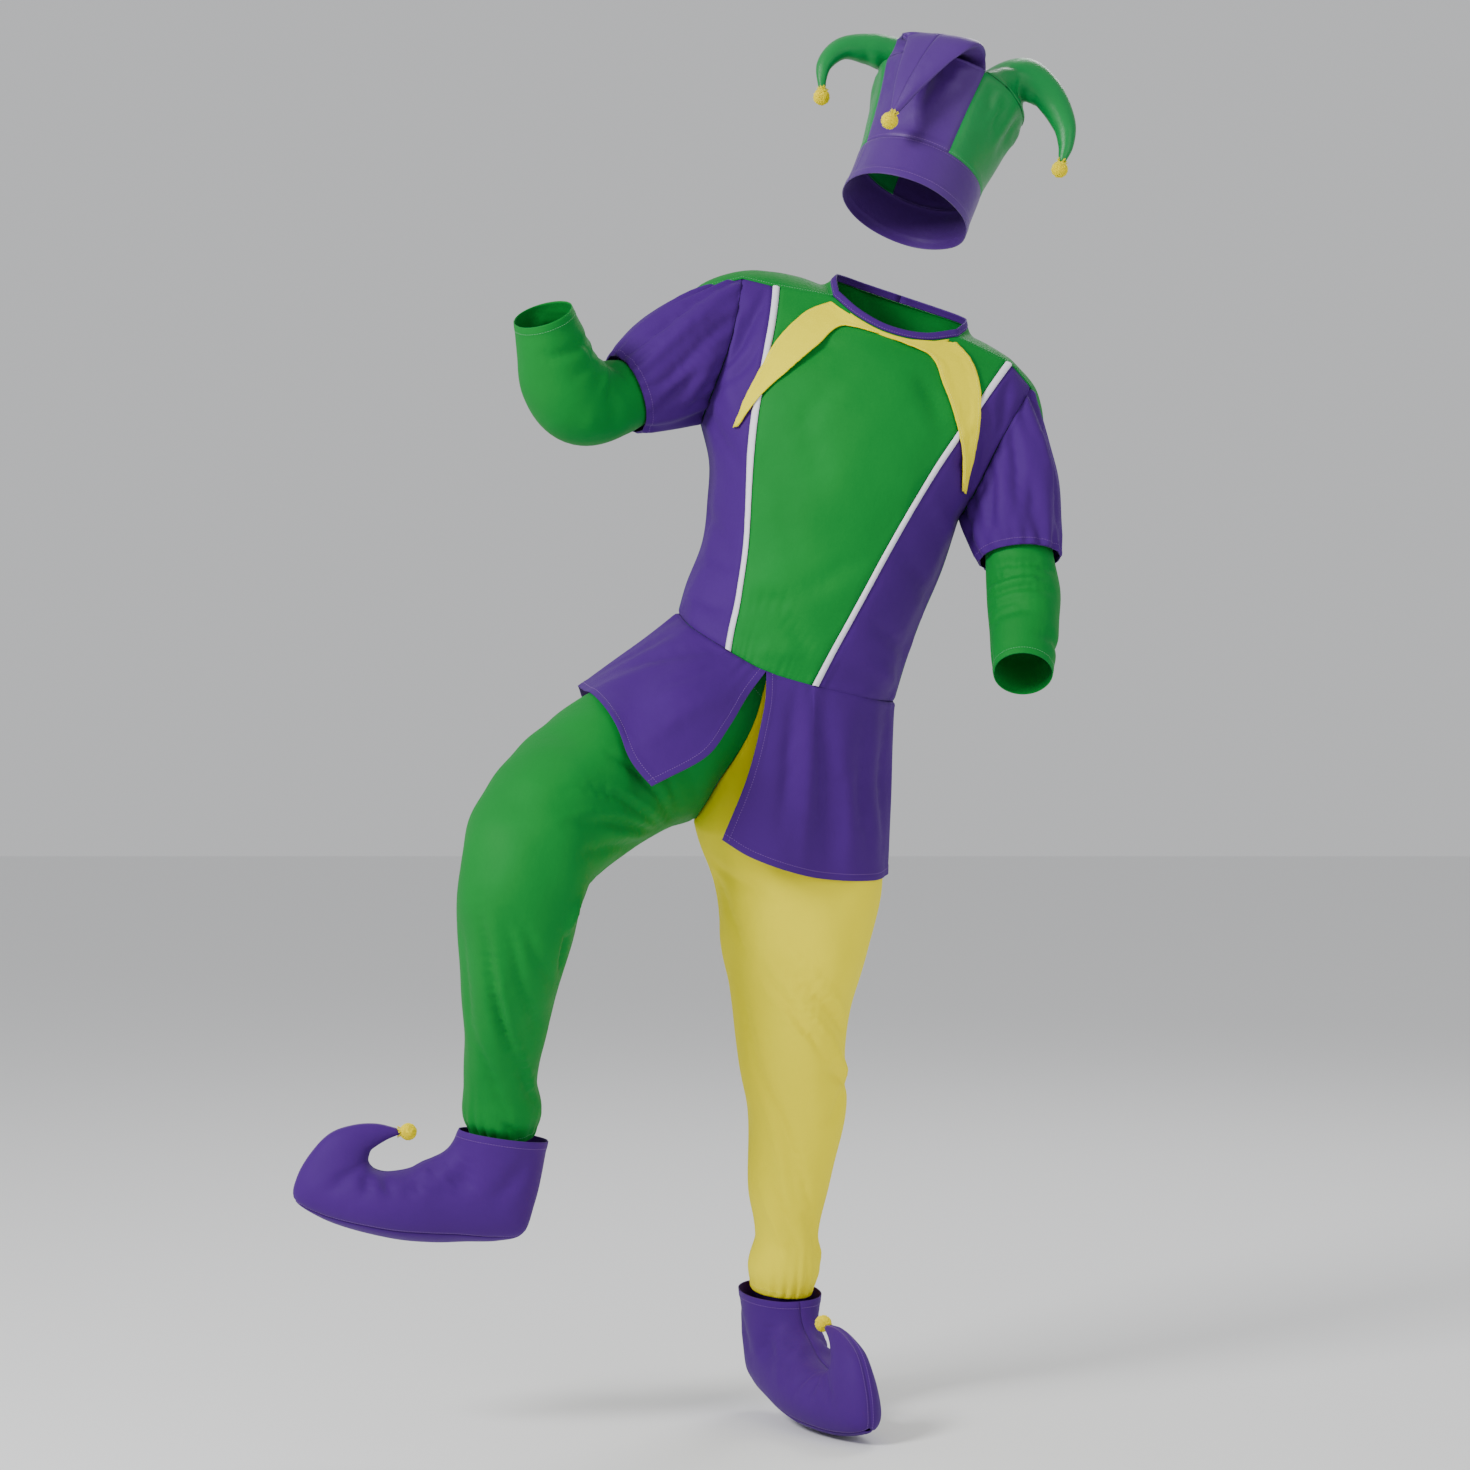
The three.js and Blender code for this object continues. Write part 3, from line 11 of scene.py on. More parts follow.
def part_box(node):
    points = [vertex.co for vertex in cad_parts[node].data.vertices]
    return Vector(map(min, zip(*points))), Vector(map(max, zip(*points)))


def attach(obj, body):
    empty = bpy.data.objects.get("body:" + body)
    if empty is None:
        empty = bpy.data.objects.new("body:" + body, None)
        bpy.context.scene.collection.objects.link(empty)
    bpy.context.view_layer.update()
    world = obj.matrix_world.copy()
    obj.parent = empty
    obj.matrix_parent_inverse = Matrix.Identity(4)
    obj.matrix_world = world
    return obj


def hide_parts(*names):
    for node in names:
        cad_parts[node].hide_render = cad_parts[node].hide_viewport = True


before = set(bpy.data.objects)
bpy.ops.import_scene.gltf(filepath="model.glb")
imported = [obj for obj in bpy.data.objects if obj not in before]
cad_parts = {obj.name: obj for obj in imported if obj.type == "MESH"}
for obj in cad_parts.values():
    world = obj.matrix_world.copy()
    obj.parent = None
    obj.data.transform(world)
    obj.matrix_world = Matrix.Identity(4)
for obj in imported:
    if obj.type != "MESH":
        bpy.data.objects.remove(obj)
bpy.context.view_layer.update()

# ---------------------------------------------------------------- Tunic front
# Three panels of stretch satin with white piping in the two long seams. Cut flat, then
# drawn round the body; the shape is the worn section, so the panels share one surface.


def table(columns, *rows):
    return {name: np.array([row[k] for row in rows], float) for k, name in enumerate(columns.split())}


def edge_line(*rows):
    """An edge or path in mm: its place along the line, then x, y, z."""
    return table("at x y z", *rows)


def folds(*rows):
    """Creases: from row, col to row, col in hundredths of the piece, then wide and high in mm."""
    return np.array(rows, float) / (100, 100, 100, 100, 1, 1)


def unit(way):
    return way / norm(way)


def smooth_through(knots, values):
    last = len(knots) - 1
    low = np.maximum(np.arange(last + 1) - 1, 0)
    high = np.minimum(np.arange(last + 1) + 1, last)
    slopes = (values[high] - values[low]) / (knots[high] - knots[low])

    def value(at):
        at = np.asarray(at, float)
        i = np.clip(np.searchsorted(knots, at, side="left") - 1, 0, last - 1)
        span = knots[i + 1] - knots[i]
        f = (at - knots[i]) / span
        g = 1 - f
        start = values[i] * (1 + 2 * f) * g * g + slopes[i] * span * f * g * g
        return start + values[i + 1] * (1 + 2 * g) * f * f - slopes[i + 1] * span * g * f * f

    return value


def columns_of(rows):
    return {name: smooth_through(rows["at"], rows[name]) for name in rows if name != "at"}


def point_at(place, at):
    return np.stack([place[axis](at) for axis in "xyz"], axis=-1)


def curve(*tables):
    """Points of one table after another, for any place along them."""
    parts = [(rows["at"][0], rows["at"][-1], columns_of(rows)) for rows in tables]

    def points(at):
        at = np.atleast_1d(np.asarray(at, float))
        out = np.zeros((len(at), 3))
        for first, last, place in parts:
            here = (at >= min(first, last)) & (at <= max(first, last))
            out[here] = point_at(place, at[here])
        return out

    return points


def smooth_step(x):
    x = np.clip(x, 0, 1)
    return x * x * (3 - 2 * x)


SEAM_STEPS = (1.2, 2.8, 5, 8, 11, 13.5)


def spaced(first, last, cells, size_mm, ends=(1, 1)):
    """Places from first to last, closer together by the ends that have a seam or hem."""
    places = list(np.linspace(0, 1, cells + 1))
    for end in (0, 1):
        if ends[end]:
            places += [abs(end - away / size_mm) for away in SEAM_STEPS]
    places = sorted(place for place in places if 0 <= place <= 1)
    kept = [places[0]]
    for place in places[1:]:
        if (place - kept[-1]) * size_mm > 1.0:
            kept.append(place)
    kept[-1] = 1
    return first + np.array(kept) * (last - first)


def fill(bottom, top, left, right, rows, cols, row_span, col_span, depth_at=None):
    """The piece of cloth between four edges, as the source fills it in."""
    up = ((rows - row_span[0]) / (row_span[1] - row_span[0]))[:, None, None]
    across = ((cols - col_span[0]) / (col_span[1] - col_span[0]))[None, :, None]
    low = bottom(cols)[None]
    high = top(cols)[None]
    corners = [edge(np.array([place]))[0] for edge in (bottom, top) for place in col_span]
    made = low * (1 - up) + high * up

    def pull(edge, first, last):
        def shift(at):
            share = ((at - row_span[0]) / (row_span[1] - row_span[0]))[:, None]
            return edge(at) - first * (1 - share) - last * share
        even = np.zeros((len(rows), 3))
        for step in (-2, -1.5, -1, -0.5, 0, 0.5, 1, 1.5, 2):
            even += shift(np.clip(rows + step * np.minimum(1, np.minimum(rows - row_span[0],
                          row_span[1] - rows) / 2), *row_span)) / 9
        return shift(rows)[:, None], even[:, None]

    # A corner in the edge, as at the underarm, evens out further in
    for k, edge, near in [(0, left, 1 - across), (1, right, across)]:
        exact, even = pull(edge, corners[k], corners[k + 2])
        made = made + (exact + (even - exact) * smooth_step((1 - near) * 5)) * near ** 2
    if depth_at:
        from_ends = np.minimum(rows - row_span[0], row_span[1] - rows)[:, None]
        from_sides = np.minimum(cols - col_span[0], col_span[1] - cols)[None]
        inside = smooth_step(np.minimum(from_ends, from_sides))
        worn = depth_at(made[..., 0], made[..., 2])
        share = (1 - up[..., 0] ** 5) * inside
        made[..., 1] += (worn - made[..., 1]) * share
    return made


def normals_of(points):
    out = np.cross(np.gradient(points, axis=1), np.gradient(points, axis=0))
    return out / np.maximum(norm(out, axis=2, keepdims=True), 1e-9)


def outward(points, heart):
    normals = normals_of(points)
    middle = points.reshape(-1, 3).mean(axis=0) if heart is None else np.array(heart)
    way = np.sign(((points - middle) * normals).sum())
    return normals * way, way


def lengths_along(points, axis):
    steps = norm(np.diff(points, axis=axis), axis=2)
    pad = [(0, 0), (0, 0)]
    pad[axis] = (1, 0)
    return np.cumsum(np.pad(steps, pad), axis=axis)


def edge_distance(points, edge):
    axis = 0 if edge in ("bottom", "top") else 1
    length = lengths_along(points, axis)
    return length if edge in ("bottom", "left") else length.max(axis=axis, keepdims=True) - length


CREASE_DEPTH = 2.1
SEAM_FADE = 14
ALONG = {"bottom": 0, "top": 0, "left": 1, "right": 1}


def in_from_seams(points, edges):
    """Nothing by a seam, so that neighbours still meet there, and all of it further in."""
    share = np.ones(points.shape[:2])
    for edge in ALONG:
        if edges.get(edge, "seam") != "hem":
            share = share * smooth_step(edge_distance(points, edge) / SEAM_FADE)
    return share


def crease(points, out, rows, share):
    """Soft troughs and ridges: each runs along a line on the cloth and fades at its ends."""
    down = lengths_along(points, 0).mean(axis=1)
    along = lengths_along(points, 1).mean(axis=0)
    down = down / down[-1]
    along = along / along[-1]
    rise = np.zeros(points.shape[:2])
    for row, col, to_row, to_col, wide, high in rows:
        line = np.linspace(0, 1, 25)
        path = np.array([points[np.argmin(abs(down - (row + (to_row - row) * t))),
                                np.argmin(abs(along - (col + (to_col - col) * t)))] for t in line])
        away = norm(points[:, :, None] - path[None, None], axis=3)
        nearest = away.argmin(axis=2)
        fade = np.sin(np.pi * (0.08 + 0.84 * line[nearest]))
        rise += CREASE_DEPTH * high * np.exp(-(away.min(axis=2) / wide) ** 2) * fade
    return points + out * (rise * share)[..., None]


def gathers(points, out, edge, waves, high, reach, seed):
    """Small uneven pleats that run in from an edge that is drawn up."""
    rng = np.random.default_rng(seed)
    away = edge_distance(points, edge)
    axis = 1 if edge in ("bottom", "top") else 0
    place = lengths_along(points, axis)
    place = place / np.maximum(place.max(axis=axis, keepdims=True), 1e-9)

    def uneven(times):
        return np.sin(2 * np.pi * times * place + rng.uniform(0, 6))

    turn = 2 * np.pi * waves * place + 1.3 * uneven(3.1)
    strength = 0.6 + 0.4 * uneven(2.3)
    reach = reach * (1 + 0.35 * uneven(4.7))
    rise = high * np.sin(turn) * strength * np.exp(-(away / reach) ** 1.3) * smooth_step(away / 2.5)
    return points + out * rise[..., None]


SWELLS, SWELL_SIZE = 14, 90


def soften(points, out, high, size, seed, share):
    """Low uneven swells, as worn cloth has between its creases."""
    rng = np.random.default_rng(seed)
    rise = np.zeros(points.shape[:2])
    for _ in range(SWELLS):
        way = unit(rng.normal(size=3))
        rise += np.sin(points @ way * 2 * np.pi / (size * rng.uniform(0.7, 1.6)) + rng.uniform(0, 6))
    return points + out * (high * rise * share / 3.7)[..., None]


SEAM_SINK, SEAM_WIDTH = 1.5, 3.2
FLAT_SINK, FLAT_WIDTH = 0.7, 2.4
HEM_WIDTH, HEM_RISE, HEM_GROOVE = 11, 0.8, 0.5
STITCH_LENGTH, STITCH_STEP = 2.4, 3.6
stitch_paths = {}


def finish_edges(points, out, edges):
    """Seams sink a little, hems are a double layer."""
    rise = np.zeros(points.shape[:2])
    for edge, kind in edges.items():
        away = edge_distance(points, edge)
        if kind == "seam":
            rise -= SEAM_SINK * np.exp(-(away / SEAM_WIDTH) ** 2)
        if kind == "flat seam":
            rise -= FLAT_SINK * np.exp(-(away / FLAT_WIDTH) ** 2)
        if kind == "hem":
            rise += HEM_RISE * (1 - smooth_step((away - HEM_WIDTH) / 2.4))
            rise -= HEM_GROOVE * np.exp(-((away - HEM_WIDTH + 1.4) / 1.3) ** 2)
    return points + out * rise[..., None]


def run_along(path):
    """How far along a path each of its points is."""
    return np.concatenate([[0], np.cumsum(norm(np.diff(path, axis=0), axis=1))])


def between(points, known, at):
    return np.stack([np.interp(at, known, points[:, axis]) for axis in range(3)], axis=-1)


def line_near(points, out, edge, away, lift):
    """A line on the cloth that keeps its distance from one edge."""
    length = edge_distance(points, edge)
    if ALONG[edge] == 1:
        points, out, length = points.swapaxes(0, 1), out.swapaxes(0, 1), length.T
    if edge in ("top", "right"):
        points, out, length = points[::-1], out[::-1], length[::-1]
    return np.array([between(points[:, col], length[:, col], away)
                     + between(out[:, col], length[:, col], away) * lift
                     for col in range(points.shape[1])])


def to_metres(points, place):
    matrix = np.array(place)
    flat = points.reshape(-1, 3) @ matrix[:3, :3].T + matrix[:3, 3]
    return (flat / 1000).reshape(points.shape)


def mesh_object(name, vertices, faces, material, uvs=None):
    mesh = bpy.data.meshes.new(name)
    mesh.from_pydata([tuple(v) for v in vertices], [], faces)
    if uvs is not None:
        layer = mesh.uv_layers.new(name="cut")
        corner = np.empty(len(mesh.loops), dtype=np.int64)
        mesh.loops.foreach_get("vertex_index", corner)
        layer.data.foreach_set("uv", uvs[corner].astype(np.float32).ravel())
    mesh.shade_smooth()
    mesh.materials.append(material)
    made = bpy.data.objects.new(name, mesh)
    bpy.context.scene.collection.objects.link(made)
    return made


def edged(**finishes):
    """The finish of each edge of a piece: seam, flat seam or hem."""
    return {edge: finish.replace("_", " ")
            for finish, edges in finishes.items() for edge in edges.split()}


NARROWEST_CUT = 10.1
TRIANGLE_SHARE = 0.4


def cloth(node, points, colour, place, edges, heart=None, creases=(), drawn=(), swell=1.0,
          wall=1.3, stitched=(), seed=0, dome=0.0, covers=True):
    """One cut piece: creases, gathers, seams and hems, then a thin wall on its solid's form."""
    out, way = outward(points, heart)
    flat_points = points
    share = in_from_seams(points, edges)
    points = soften(points, out, swell, SWELL_SIZE, seed, share)
    points = crease(points, out, creases, share)
    for edge, waves, high, reach in drawn:
        points = gathers(points, out, edge, waves, high, reach, seed + waves)
    if dome:
        side = lengths_along(points, 1)
        rise = dome * np.sin(np.pi * side / side.max(axis=1, keepdims=True))
        points = points + out * rise[..., None]
    points = finish_edges(points, out, edges)
    thread = stitch_paths.setdefault(colour, [])
    for edge, away in stitched:
        thread.append(to_metres(line_near(points, out, edge, away, wall / 2), place))
    rows, cols = points.shape[:2]
    down, along = lengths_along(flat_points, 0), lengths_along(flat_points, 1)
    spots = to_metres(points, place).reshape(-1, 3)
    first = (np.arange(rows - 1)[:, None] * cols + np.arange(cols - 1)).reshape(-1, 1)
    square = np.array([0, 1, cols + 1, cols])
    faces = (first + (square if way > 0 else square[::-1])).tolist()
    uvs = np.stack([along.ravel(), down.ravel()], axis=1) / 1000
    made = mesh_object("worn_" + node, spots, faces, COLOURS[colour], uvs)
    if way > 0:
        made.data.flip_normals()
    solid = made.modifiers.new("wall", "SOLIDIFY")
    solid.thickness = wall / 1000
    solid.offset = 0
    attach(made, "root")
    if covers:
        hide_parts(node)
    wide, long = [max(float(size.max()), NARROWEST_CUT) / 1000 for size in (along, down)]
    squares = norm(np.cross(flat_points[1:, 1:] - flat_points[:-1, :-1],
                                      flat_points[1:, :-1] - flat_points[:-1, 1:]), axis=2) / 2
    area = float(squares.sum()) / 1e6
    if area < TRIANGLE_SHARE * wide * long:
        wide = 2 * area / long  # a taper is cut as a triangle
    return made


def put(node, values):
    for name, value in values.items():
        node.inputs[name].default_value = value
    return node


def shader(name, values):
    material = bpy.data.materials.new(name)
    material.use_nodes = True
    return material, put(material.node_tree.nodes["Principled BSDF"], values)


def fabric(name, colour, dark, rough, sheen):
    """Dyed stretch satin: even colour with slow shade changes, a fine knit and soft shine."""
    material, face = shader(name, {"Roughness": rough, "Sheen Weight": sheen,
                                   "Sheen Roughness": 0.45, "Specular IOR Level": 0.5 - rough / 2})

    def add(kind, **values):
        return put(material.node_tree.nodes.new("ShaderNode" + kind), values)

    coords = add("TexCoord")
    slow = add("TexNoise", Scale=9, Detail=4)
    mix = add("Mix")
    mix.data_type = "RGBA"
    put(mix, {"A": (*dark, 1), "B": (*colour, 1)})
    cut = add("UVMap")
    cut.uv_map = "cut"
    knit = add("TexWave", Scale=320, Distortion=1.5)
    crumple = add("TexNoise", Scale=60, Detail=5)
    small = add("Bump", Distance=0.0002, Strength=0.25)
    large = add("Bump", Distance=0.0015, Strength=0.45)
    for start, out, end, into in [
            (coords, "Object", slow, "Vector"), (slow, "Fac", mix, "Factor"),
            (mix, "Result", face, "Base Color"), (cut, "UV", knit, "Vector"),
            (coords, "Object", crumple, "Vector"), (knit, "Fac", small, "Height"),
            (crumple, "Fac", large, "Height"), (small, "Normal", large, "Normal"),
            (large, "Normal", face, "Normal")]:
        material.node_tree.links.new(start.outputs[out], end.inputs[into])
    return material


COLOURS = {
    "purple": fabric("purple satin", (0.062, 0.009, 0.185), (0.046, 0.006, 0.14), 0.66, 0.03),
    "green": fabric("green satin", (0.0, 0.225, 0.028), (0.0, 0.17, 0.02), 0.66, 0.02),
    "yellow": fabric("yellow satin", (0.92, 0.8, 0.0), (0.84, 0.71, 0.0), 0.7, 0.0),
    "white": fabric("white tape", (0.85, 0.82, 0.9), (0.78, 0.75, 0.84), 0.6, 0.1),
    "hat_purple": fabric("purple hat satin", (0.08, 0.02, 0.21), (0.055, 0.012, 0.15), 0.42, 0.1),
    "hat_green": fabric("green hat satin", (0.0, 0.27, 0.055), (0.0, 0.17, 0.03), 0.36, 0.06),
}
LEAN = Matrix.Rotation(math.radians(18), 4, "Y")
BODY = (0, 0, -300)
FRONT_SECTIONS = table("at right left deep",
    (-540, 157, 161, 122), (-450, 159, 160, 124), (-388, 158, 162, 128), (-328, 169, 168, 133),
    (-282, 183, 171, 137), (-238, 207, 178, 138), (-190, 217, 192, 134), (-130, 221, 204, 121),
    (-84, 226, 217, 102), (-50, 232, 228, 82), (20, 240, 240, 60))
BACK_SECTIONS = table("at right left deep",
    (-540, 157, 161, 113), (-450, 159, 160, 112), (-388, 158, 162, 114), (-328, 169, 168, 120),
    (-282, 183, 171, 127), (-238, 208, 178, 132), (-200, 238, 206, 134), (-160, 265, 232, 131),
    (-110, 285, 256, 124), (-50, 296, 270, 112), (20, 300, 280, 100))
WAIST_FRONT = edge_line(
    (0, -157, 0, -491), (1.5, -131, -70, -506), (3, -79, -108, -520), (4, -71, -111, -522),
    (9, -18, -122, -532), (14, 46, -114, -531), (15, 54, -112, -530), (16.5, 126, -72, -523),
    (18, 161, 0, -515))
SHOULDER_RIGHT = edge_line(
    (0, -213, -22, -34), (3, -170, -30, -32), (4, -161, -31, -31), (6, -88, -41, -22))
NECK_FRONT = edge_line(
    (6, -88, -41, -22), (7.5, -50, -63, -40), (9, -4, -72, -49), (10.5, 46, -64, -43),
    (12, 88, -41, -22))
SHOULDER_LEFT = edge_line(
    (12, 88, -41, -22), (14, 161, -31, -32), (15, 170, -30, -34), (18, 205, -18, -54))
SIDE_RIGHT = edge_line(
    (0, -157, 0, -491), (1, -159, 2, -450), (2.5, -156, 3, -388), (4, -168, 3, -328),
    (5, -181, 2, -282), (6, -207, 0, -238))
ARMHOLE_FRONT_RIGHT = edge_line(
    (6, -207, 0, -238), (7.5, -203, -44, -200), (9.5, -200, -54, -130), (11, -206, -42, -70),
    (12, -213, -22, -34))
SIDE_LEFT = edge_line(
    (0, 161, 0, -515), (1.5, 160, 2, -455), (3, 162, 3, -395), (4.5, 168, 3, -325), (6, 168, 0, -252))
ARMHOLE_FRONT_LEFT = edge_line(
    (6, 168, 0, -252), (7.5, 176, -44, -210), (9.5, 186, -54, -140), (11, 198, -40, -84),
    (12, 205, -18, -54))


def depth_of(rows, way):
    section = columns_of(rows)

    def depth(x, z):
        half = np.where(x < 0, section["right"](z), section["left"](z))
        return way * section["deep"](z) * np.sqrt(np.maximum(1 - (x / half) ** 2, 0))

    return depth


waist_front = curve(WAIST_FRONT)
front_top = curve(SHOULDER_RIGHT, NECK_FRONT, SHOULDER_LEFT)
front_left = curve(SIDE_RIGHT, ARMHOLE_FRONT_RIGHT)
front_right = curve(SIDE_LEFT, ARMHOLE_FRONT_LEFT)


def front(rows, cols):
    return fill(waist_front, front_top, front_left, front_right, rows, cols, (0, 12), (0, 18),
                depth_of(FRONT_SECTIONS, -1))


FRONT_ROWS = spaced(0, 12, 72, 500)
# Creases run in from the armholes, down from the collar and across the waist
SIDE_FOLDS_RIGHT = folds(
    (97, 90, 80, 10, 9, -3.2), (90, 70, 70, 5, 10, -3.6), (82, 95, 64, 20, 8, -2.6),
    (76, 10, 60, 75, 11, 2.6), (60, 5, 48, 90, 10, -2.6), (30, 5, 24, 85, 12, -2.2),
    (14, 10, 18, 90, 9, -2.4), (6, 20, 10, 95, 8, 2))
SIDE_FOLDS_LEFT = folds(
    (95, 15, 80, 85, 8, -2.6), (84, 10, 70, 90, 9, -3), (70, 10, 62, 95, 8, -2.6),
    (56, 15, 46, 90, 11, 2.4), (40, 10, 30, 90, 12, -2.2), (20, 10, 14, 90, 9, -2.4),
    (10, 20, 5, 90, 8, 2))
CENTRE_FOLDS = folds(
    (90, 30, 74, 10, 12, -2.4), (88, 66, 72, 92, 12, -2.4), (80, 38, 62, 22, 14, -1.8),
    (66, 20, 50, 50, 18, -1.6), (46, 12, 30, 45, 16, -1.8), (34, 90, 22, 50, 14, -1.8),
    (14, 10, 20, 50, 10, -2.2), (8, 85, 16, 45, 10, -2.2), (4, 30, 7, 70, 8, 1.6))
ALL_SEAMS = edged(seam="left right top bottom")
FLAT_TOP = edged(seam="left right bottom", flat_seam="top")
cloth("front_side_right", front(FRONT_ROWS, spaced(0, 3, 16, 85)), "purple", LEAN,
      ALL_SEAMS, BODY, SIDE_FOLDS_RIGHT, drawn=[("bottom", 7, 1.0, 22)], seed=1)
cloth("front_centre", front(FRONT_ROWS, spaced(4, 14, 48, 190)), "green", LEAN,
      FLAT_TOP, BODY, CENTRE_FOLDS,
      drawn=[("bottom", 13, 0.9, 24)], seed=2)
cloth("front_side_left", front(FRONT_ROWS, spaced(15, 18, 16, 100)), "purple", LEAN,
      ALL_SEAMS, BODY, SIDE_FOLDS_LEFT,
      drawn=[("bottom", 7, 1.0, 22), ("right", 9, 0.9, 16)], seed=3)

# ---------------------------------------------------------------- Piping
# White cord covered with bias tape, caught in each seam between the side and the centre.
for node, first in [("piping_right", 3), ("piping_left", 14)]:
    cloth(node, front(FRONT_ROWS, spaced(first, first + 1, 8, 9, (0, 0))), "white", LEAN,
          {}, BODY, swell=0, dome=1.8, wall=1.0)

# ---------------------------------------------------------------- Tunic back
# One plain green piece that rolls over both shoulders and out over the sleeve heads, where a
# topstitched seam joins it to the front.
WAIST_BACK = edge_line(
    (0, -157, 0, -491), (3, -144, 48, -491), (7, -98, 92, -491), (10, -50, 108, -491),
    (13, 0, 113, -492), (16, 50, 108, -496), (19, 98, 92, -500), (23, 148, 48, -509),
    (26, 161, 0, -515))
RIDGE = edge_line(
    (0, -285, 8, -97), (1.5, -264, 4, -56), (3, -222, 5, -24), (6, -178, 8, -9), (8, -138, 14, -4),
    (9, -119, 28, -4), (10, -104, 50, -6), (11, -80, 72, -8), (13, 0, 96, -12), (15, 80, 72, -11),
    (16, 104, 50, -10), (17, 119, 28, -10), (18, 138, 14, -14), (20, 172, 8, -27), (23, 209, 8, -47),
    (24.5, 229, 20, -72), (26, 247, 36, -110))
SLEEVE_HEAD_RIGHT = edge_line(
    (0, -283, -6, -107), (1.5, -262, -19, -66), (3, -213, -22, -34))
NECK_BACK = edge_line(
    (9, -88, -41, -22), (10, -98, -8, 1), (11, -90, 30, 9), (12, -56, 66, 13), (13, 0, 78, 14),
    (14, 56, 66, 12), (15, 90, 30, 6), (16, 98, -8, -3), (17, 88, -41, -22))
SLEEVE_HEAD_LEFT = edge_line(
    (23, 205, -18, -54), (24.5, 226, 2, -82), (26, 242, 22, -122))
ARMHOLE_BACK_RIGHT = edge_line(
    (6, -207, 0, -238), (7.5, -214, 46, -212), (9.5, -236, 58, -160), (11, -266, 36, -120),
    (12, -285, 8, -97))
ARMHOLE_BACK_LEFT = edge_line(
    (6, 168, 0, -252), (7.5, 181, 46, -226), (9.5, 204, 64, -180), (11, 230, 56, -140),
    (12, 247, 36, -110))
SHOULDER_ROLL = 5
waist_back = curve(WAIST_BACK)
ridge = curve(RIDGE)
head_right = curve(SLEEVE_HEAD_RIGHT)
head_left = curve(SLEEVE_HEAD_LEFT)
neck_back = curve(NECK_BACK)


def back_top(at):
    at = np.atleast_1d(np.asarray(at, float))
    made = neck_back(np.clip(at, 9, 17))
    for here, points in [(at <= 3, head_right(np.clip(at, 0, 3))),
                         ((at > 3) & (at < 9), front_top(np.clip(at - 3, 0, 6))),
                         ((at > 17) & (at < 23), front_top(np.clip(at - 5, 12, 18))),
                         (at >= 23, head_left(np.clip(at, 23, 26)))]:
        made[here] = points[here]
    return made


def roll_over(at):
    at = np.atleast_1d(np.asarray(at, float))
    made = ridge(at) * 0.45 + back_top(at) * 0.55
    made[:, 2] += SHOULDER_ROLL * np.sin(np.pi * at / 26)
    return made


def back(rows, cols):
    body = fill(waist_back, ridge, curve(SIDE_RIGHT, ARMHOLE_BACK_RIGHT),
                curve(SIDE_LEFT, ARMHOLE_BACK_LEFT), rows[rows <= 12], cols,
                (0, 12), (0, 26), depth_of(BACK_SECTIONS, 1))
    over = []
    for row in rows[rows > 12]:
        s = (row - 12) / 2
        over.append(ridge(cols) * (1 - s) * (1 - 2 * s) + roll_over(cols) * 4 * s * (1 - s)
                    + back_top(cols) * s * (2 * s - 1))
    return np.concatenate([body, np.array(over)])


BACK_ROWS = np.concatenate([spaced(0, 12, 60, 480, (1, 0)), spaced(12, 14, 8, 40, (0, 1))[1:]])
BACK_FOLDS = folds(
    (86, 22, 66, 6, 14, -3), (84, 78, 64, 95, 14, -3), (80, 36, 60, 24, 18, -2.2),
    (78, 66, 60, 78, 18, -2.2), (50, 10, 36, 42, 18, -2.6), (44, 92, 34, 60, 18, -2.6),
    (26, 10, 20, 50, 14, -3), (20, 90, 14, 50, 13, -3), (10, 20, 12, 70, 11, 2.4),
    (6, 10, 5, 55, 9, -2.2), (70, 46, 50, 50, 16, -1.6), (62, 6, 50, 30, 12, -2.4),
    (58, 94, 48, 72, 12, -2.4), (34, 6, 30, 36, 12, 2), (32, 95, 26, 66, 12, 2),
    (16, 55, 12, 92, 11, -2.4))
cloth("back", back(BACK_ROWS, spaced(0, 26, 104, 560)), "green", LEAN,
      FLAT_TOP, BODY, BACK_FOLDS,
      drawn=[("bottom", 26, 1.0, 26)], stitched=[("top", 3.5)], seed=4)

# ---------------------------------------------------------------- Neck binding
# A folded bias strip of the purple satin, sewn round the whole neckline and standing up.
neck_loop = np.concatenate([back_top(np.linspace(13, 17, 25)[:-1]),
                            front_top(np.linspace(12, 6, 37)[:-1]),
                            back_top(np.linspace(9, 13, 25))])
neck_in = -neck_loop * np.array([1, 1, 0])
neck_in /= norm(neck_in, axis=1, keepdims=True)
stand = neck_in * 0.5 + np.array([0, 0, 0.87])
binding = np.array([neck_loop + stand * rise for rise in (0, 1.5, 3.5, 6, 8.5, 10)])
binding[:, :, 2] += 0.6
cloth("neck_binding", binding, "purple", LEAN, edged(flat_seam="bottom"), BODY, swell=0,
      wall=2.6, stitched=[("bottom", 2.2)], seed=5)

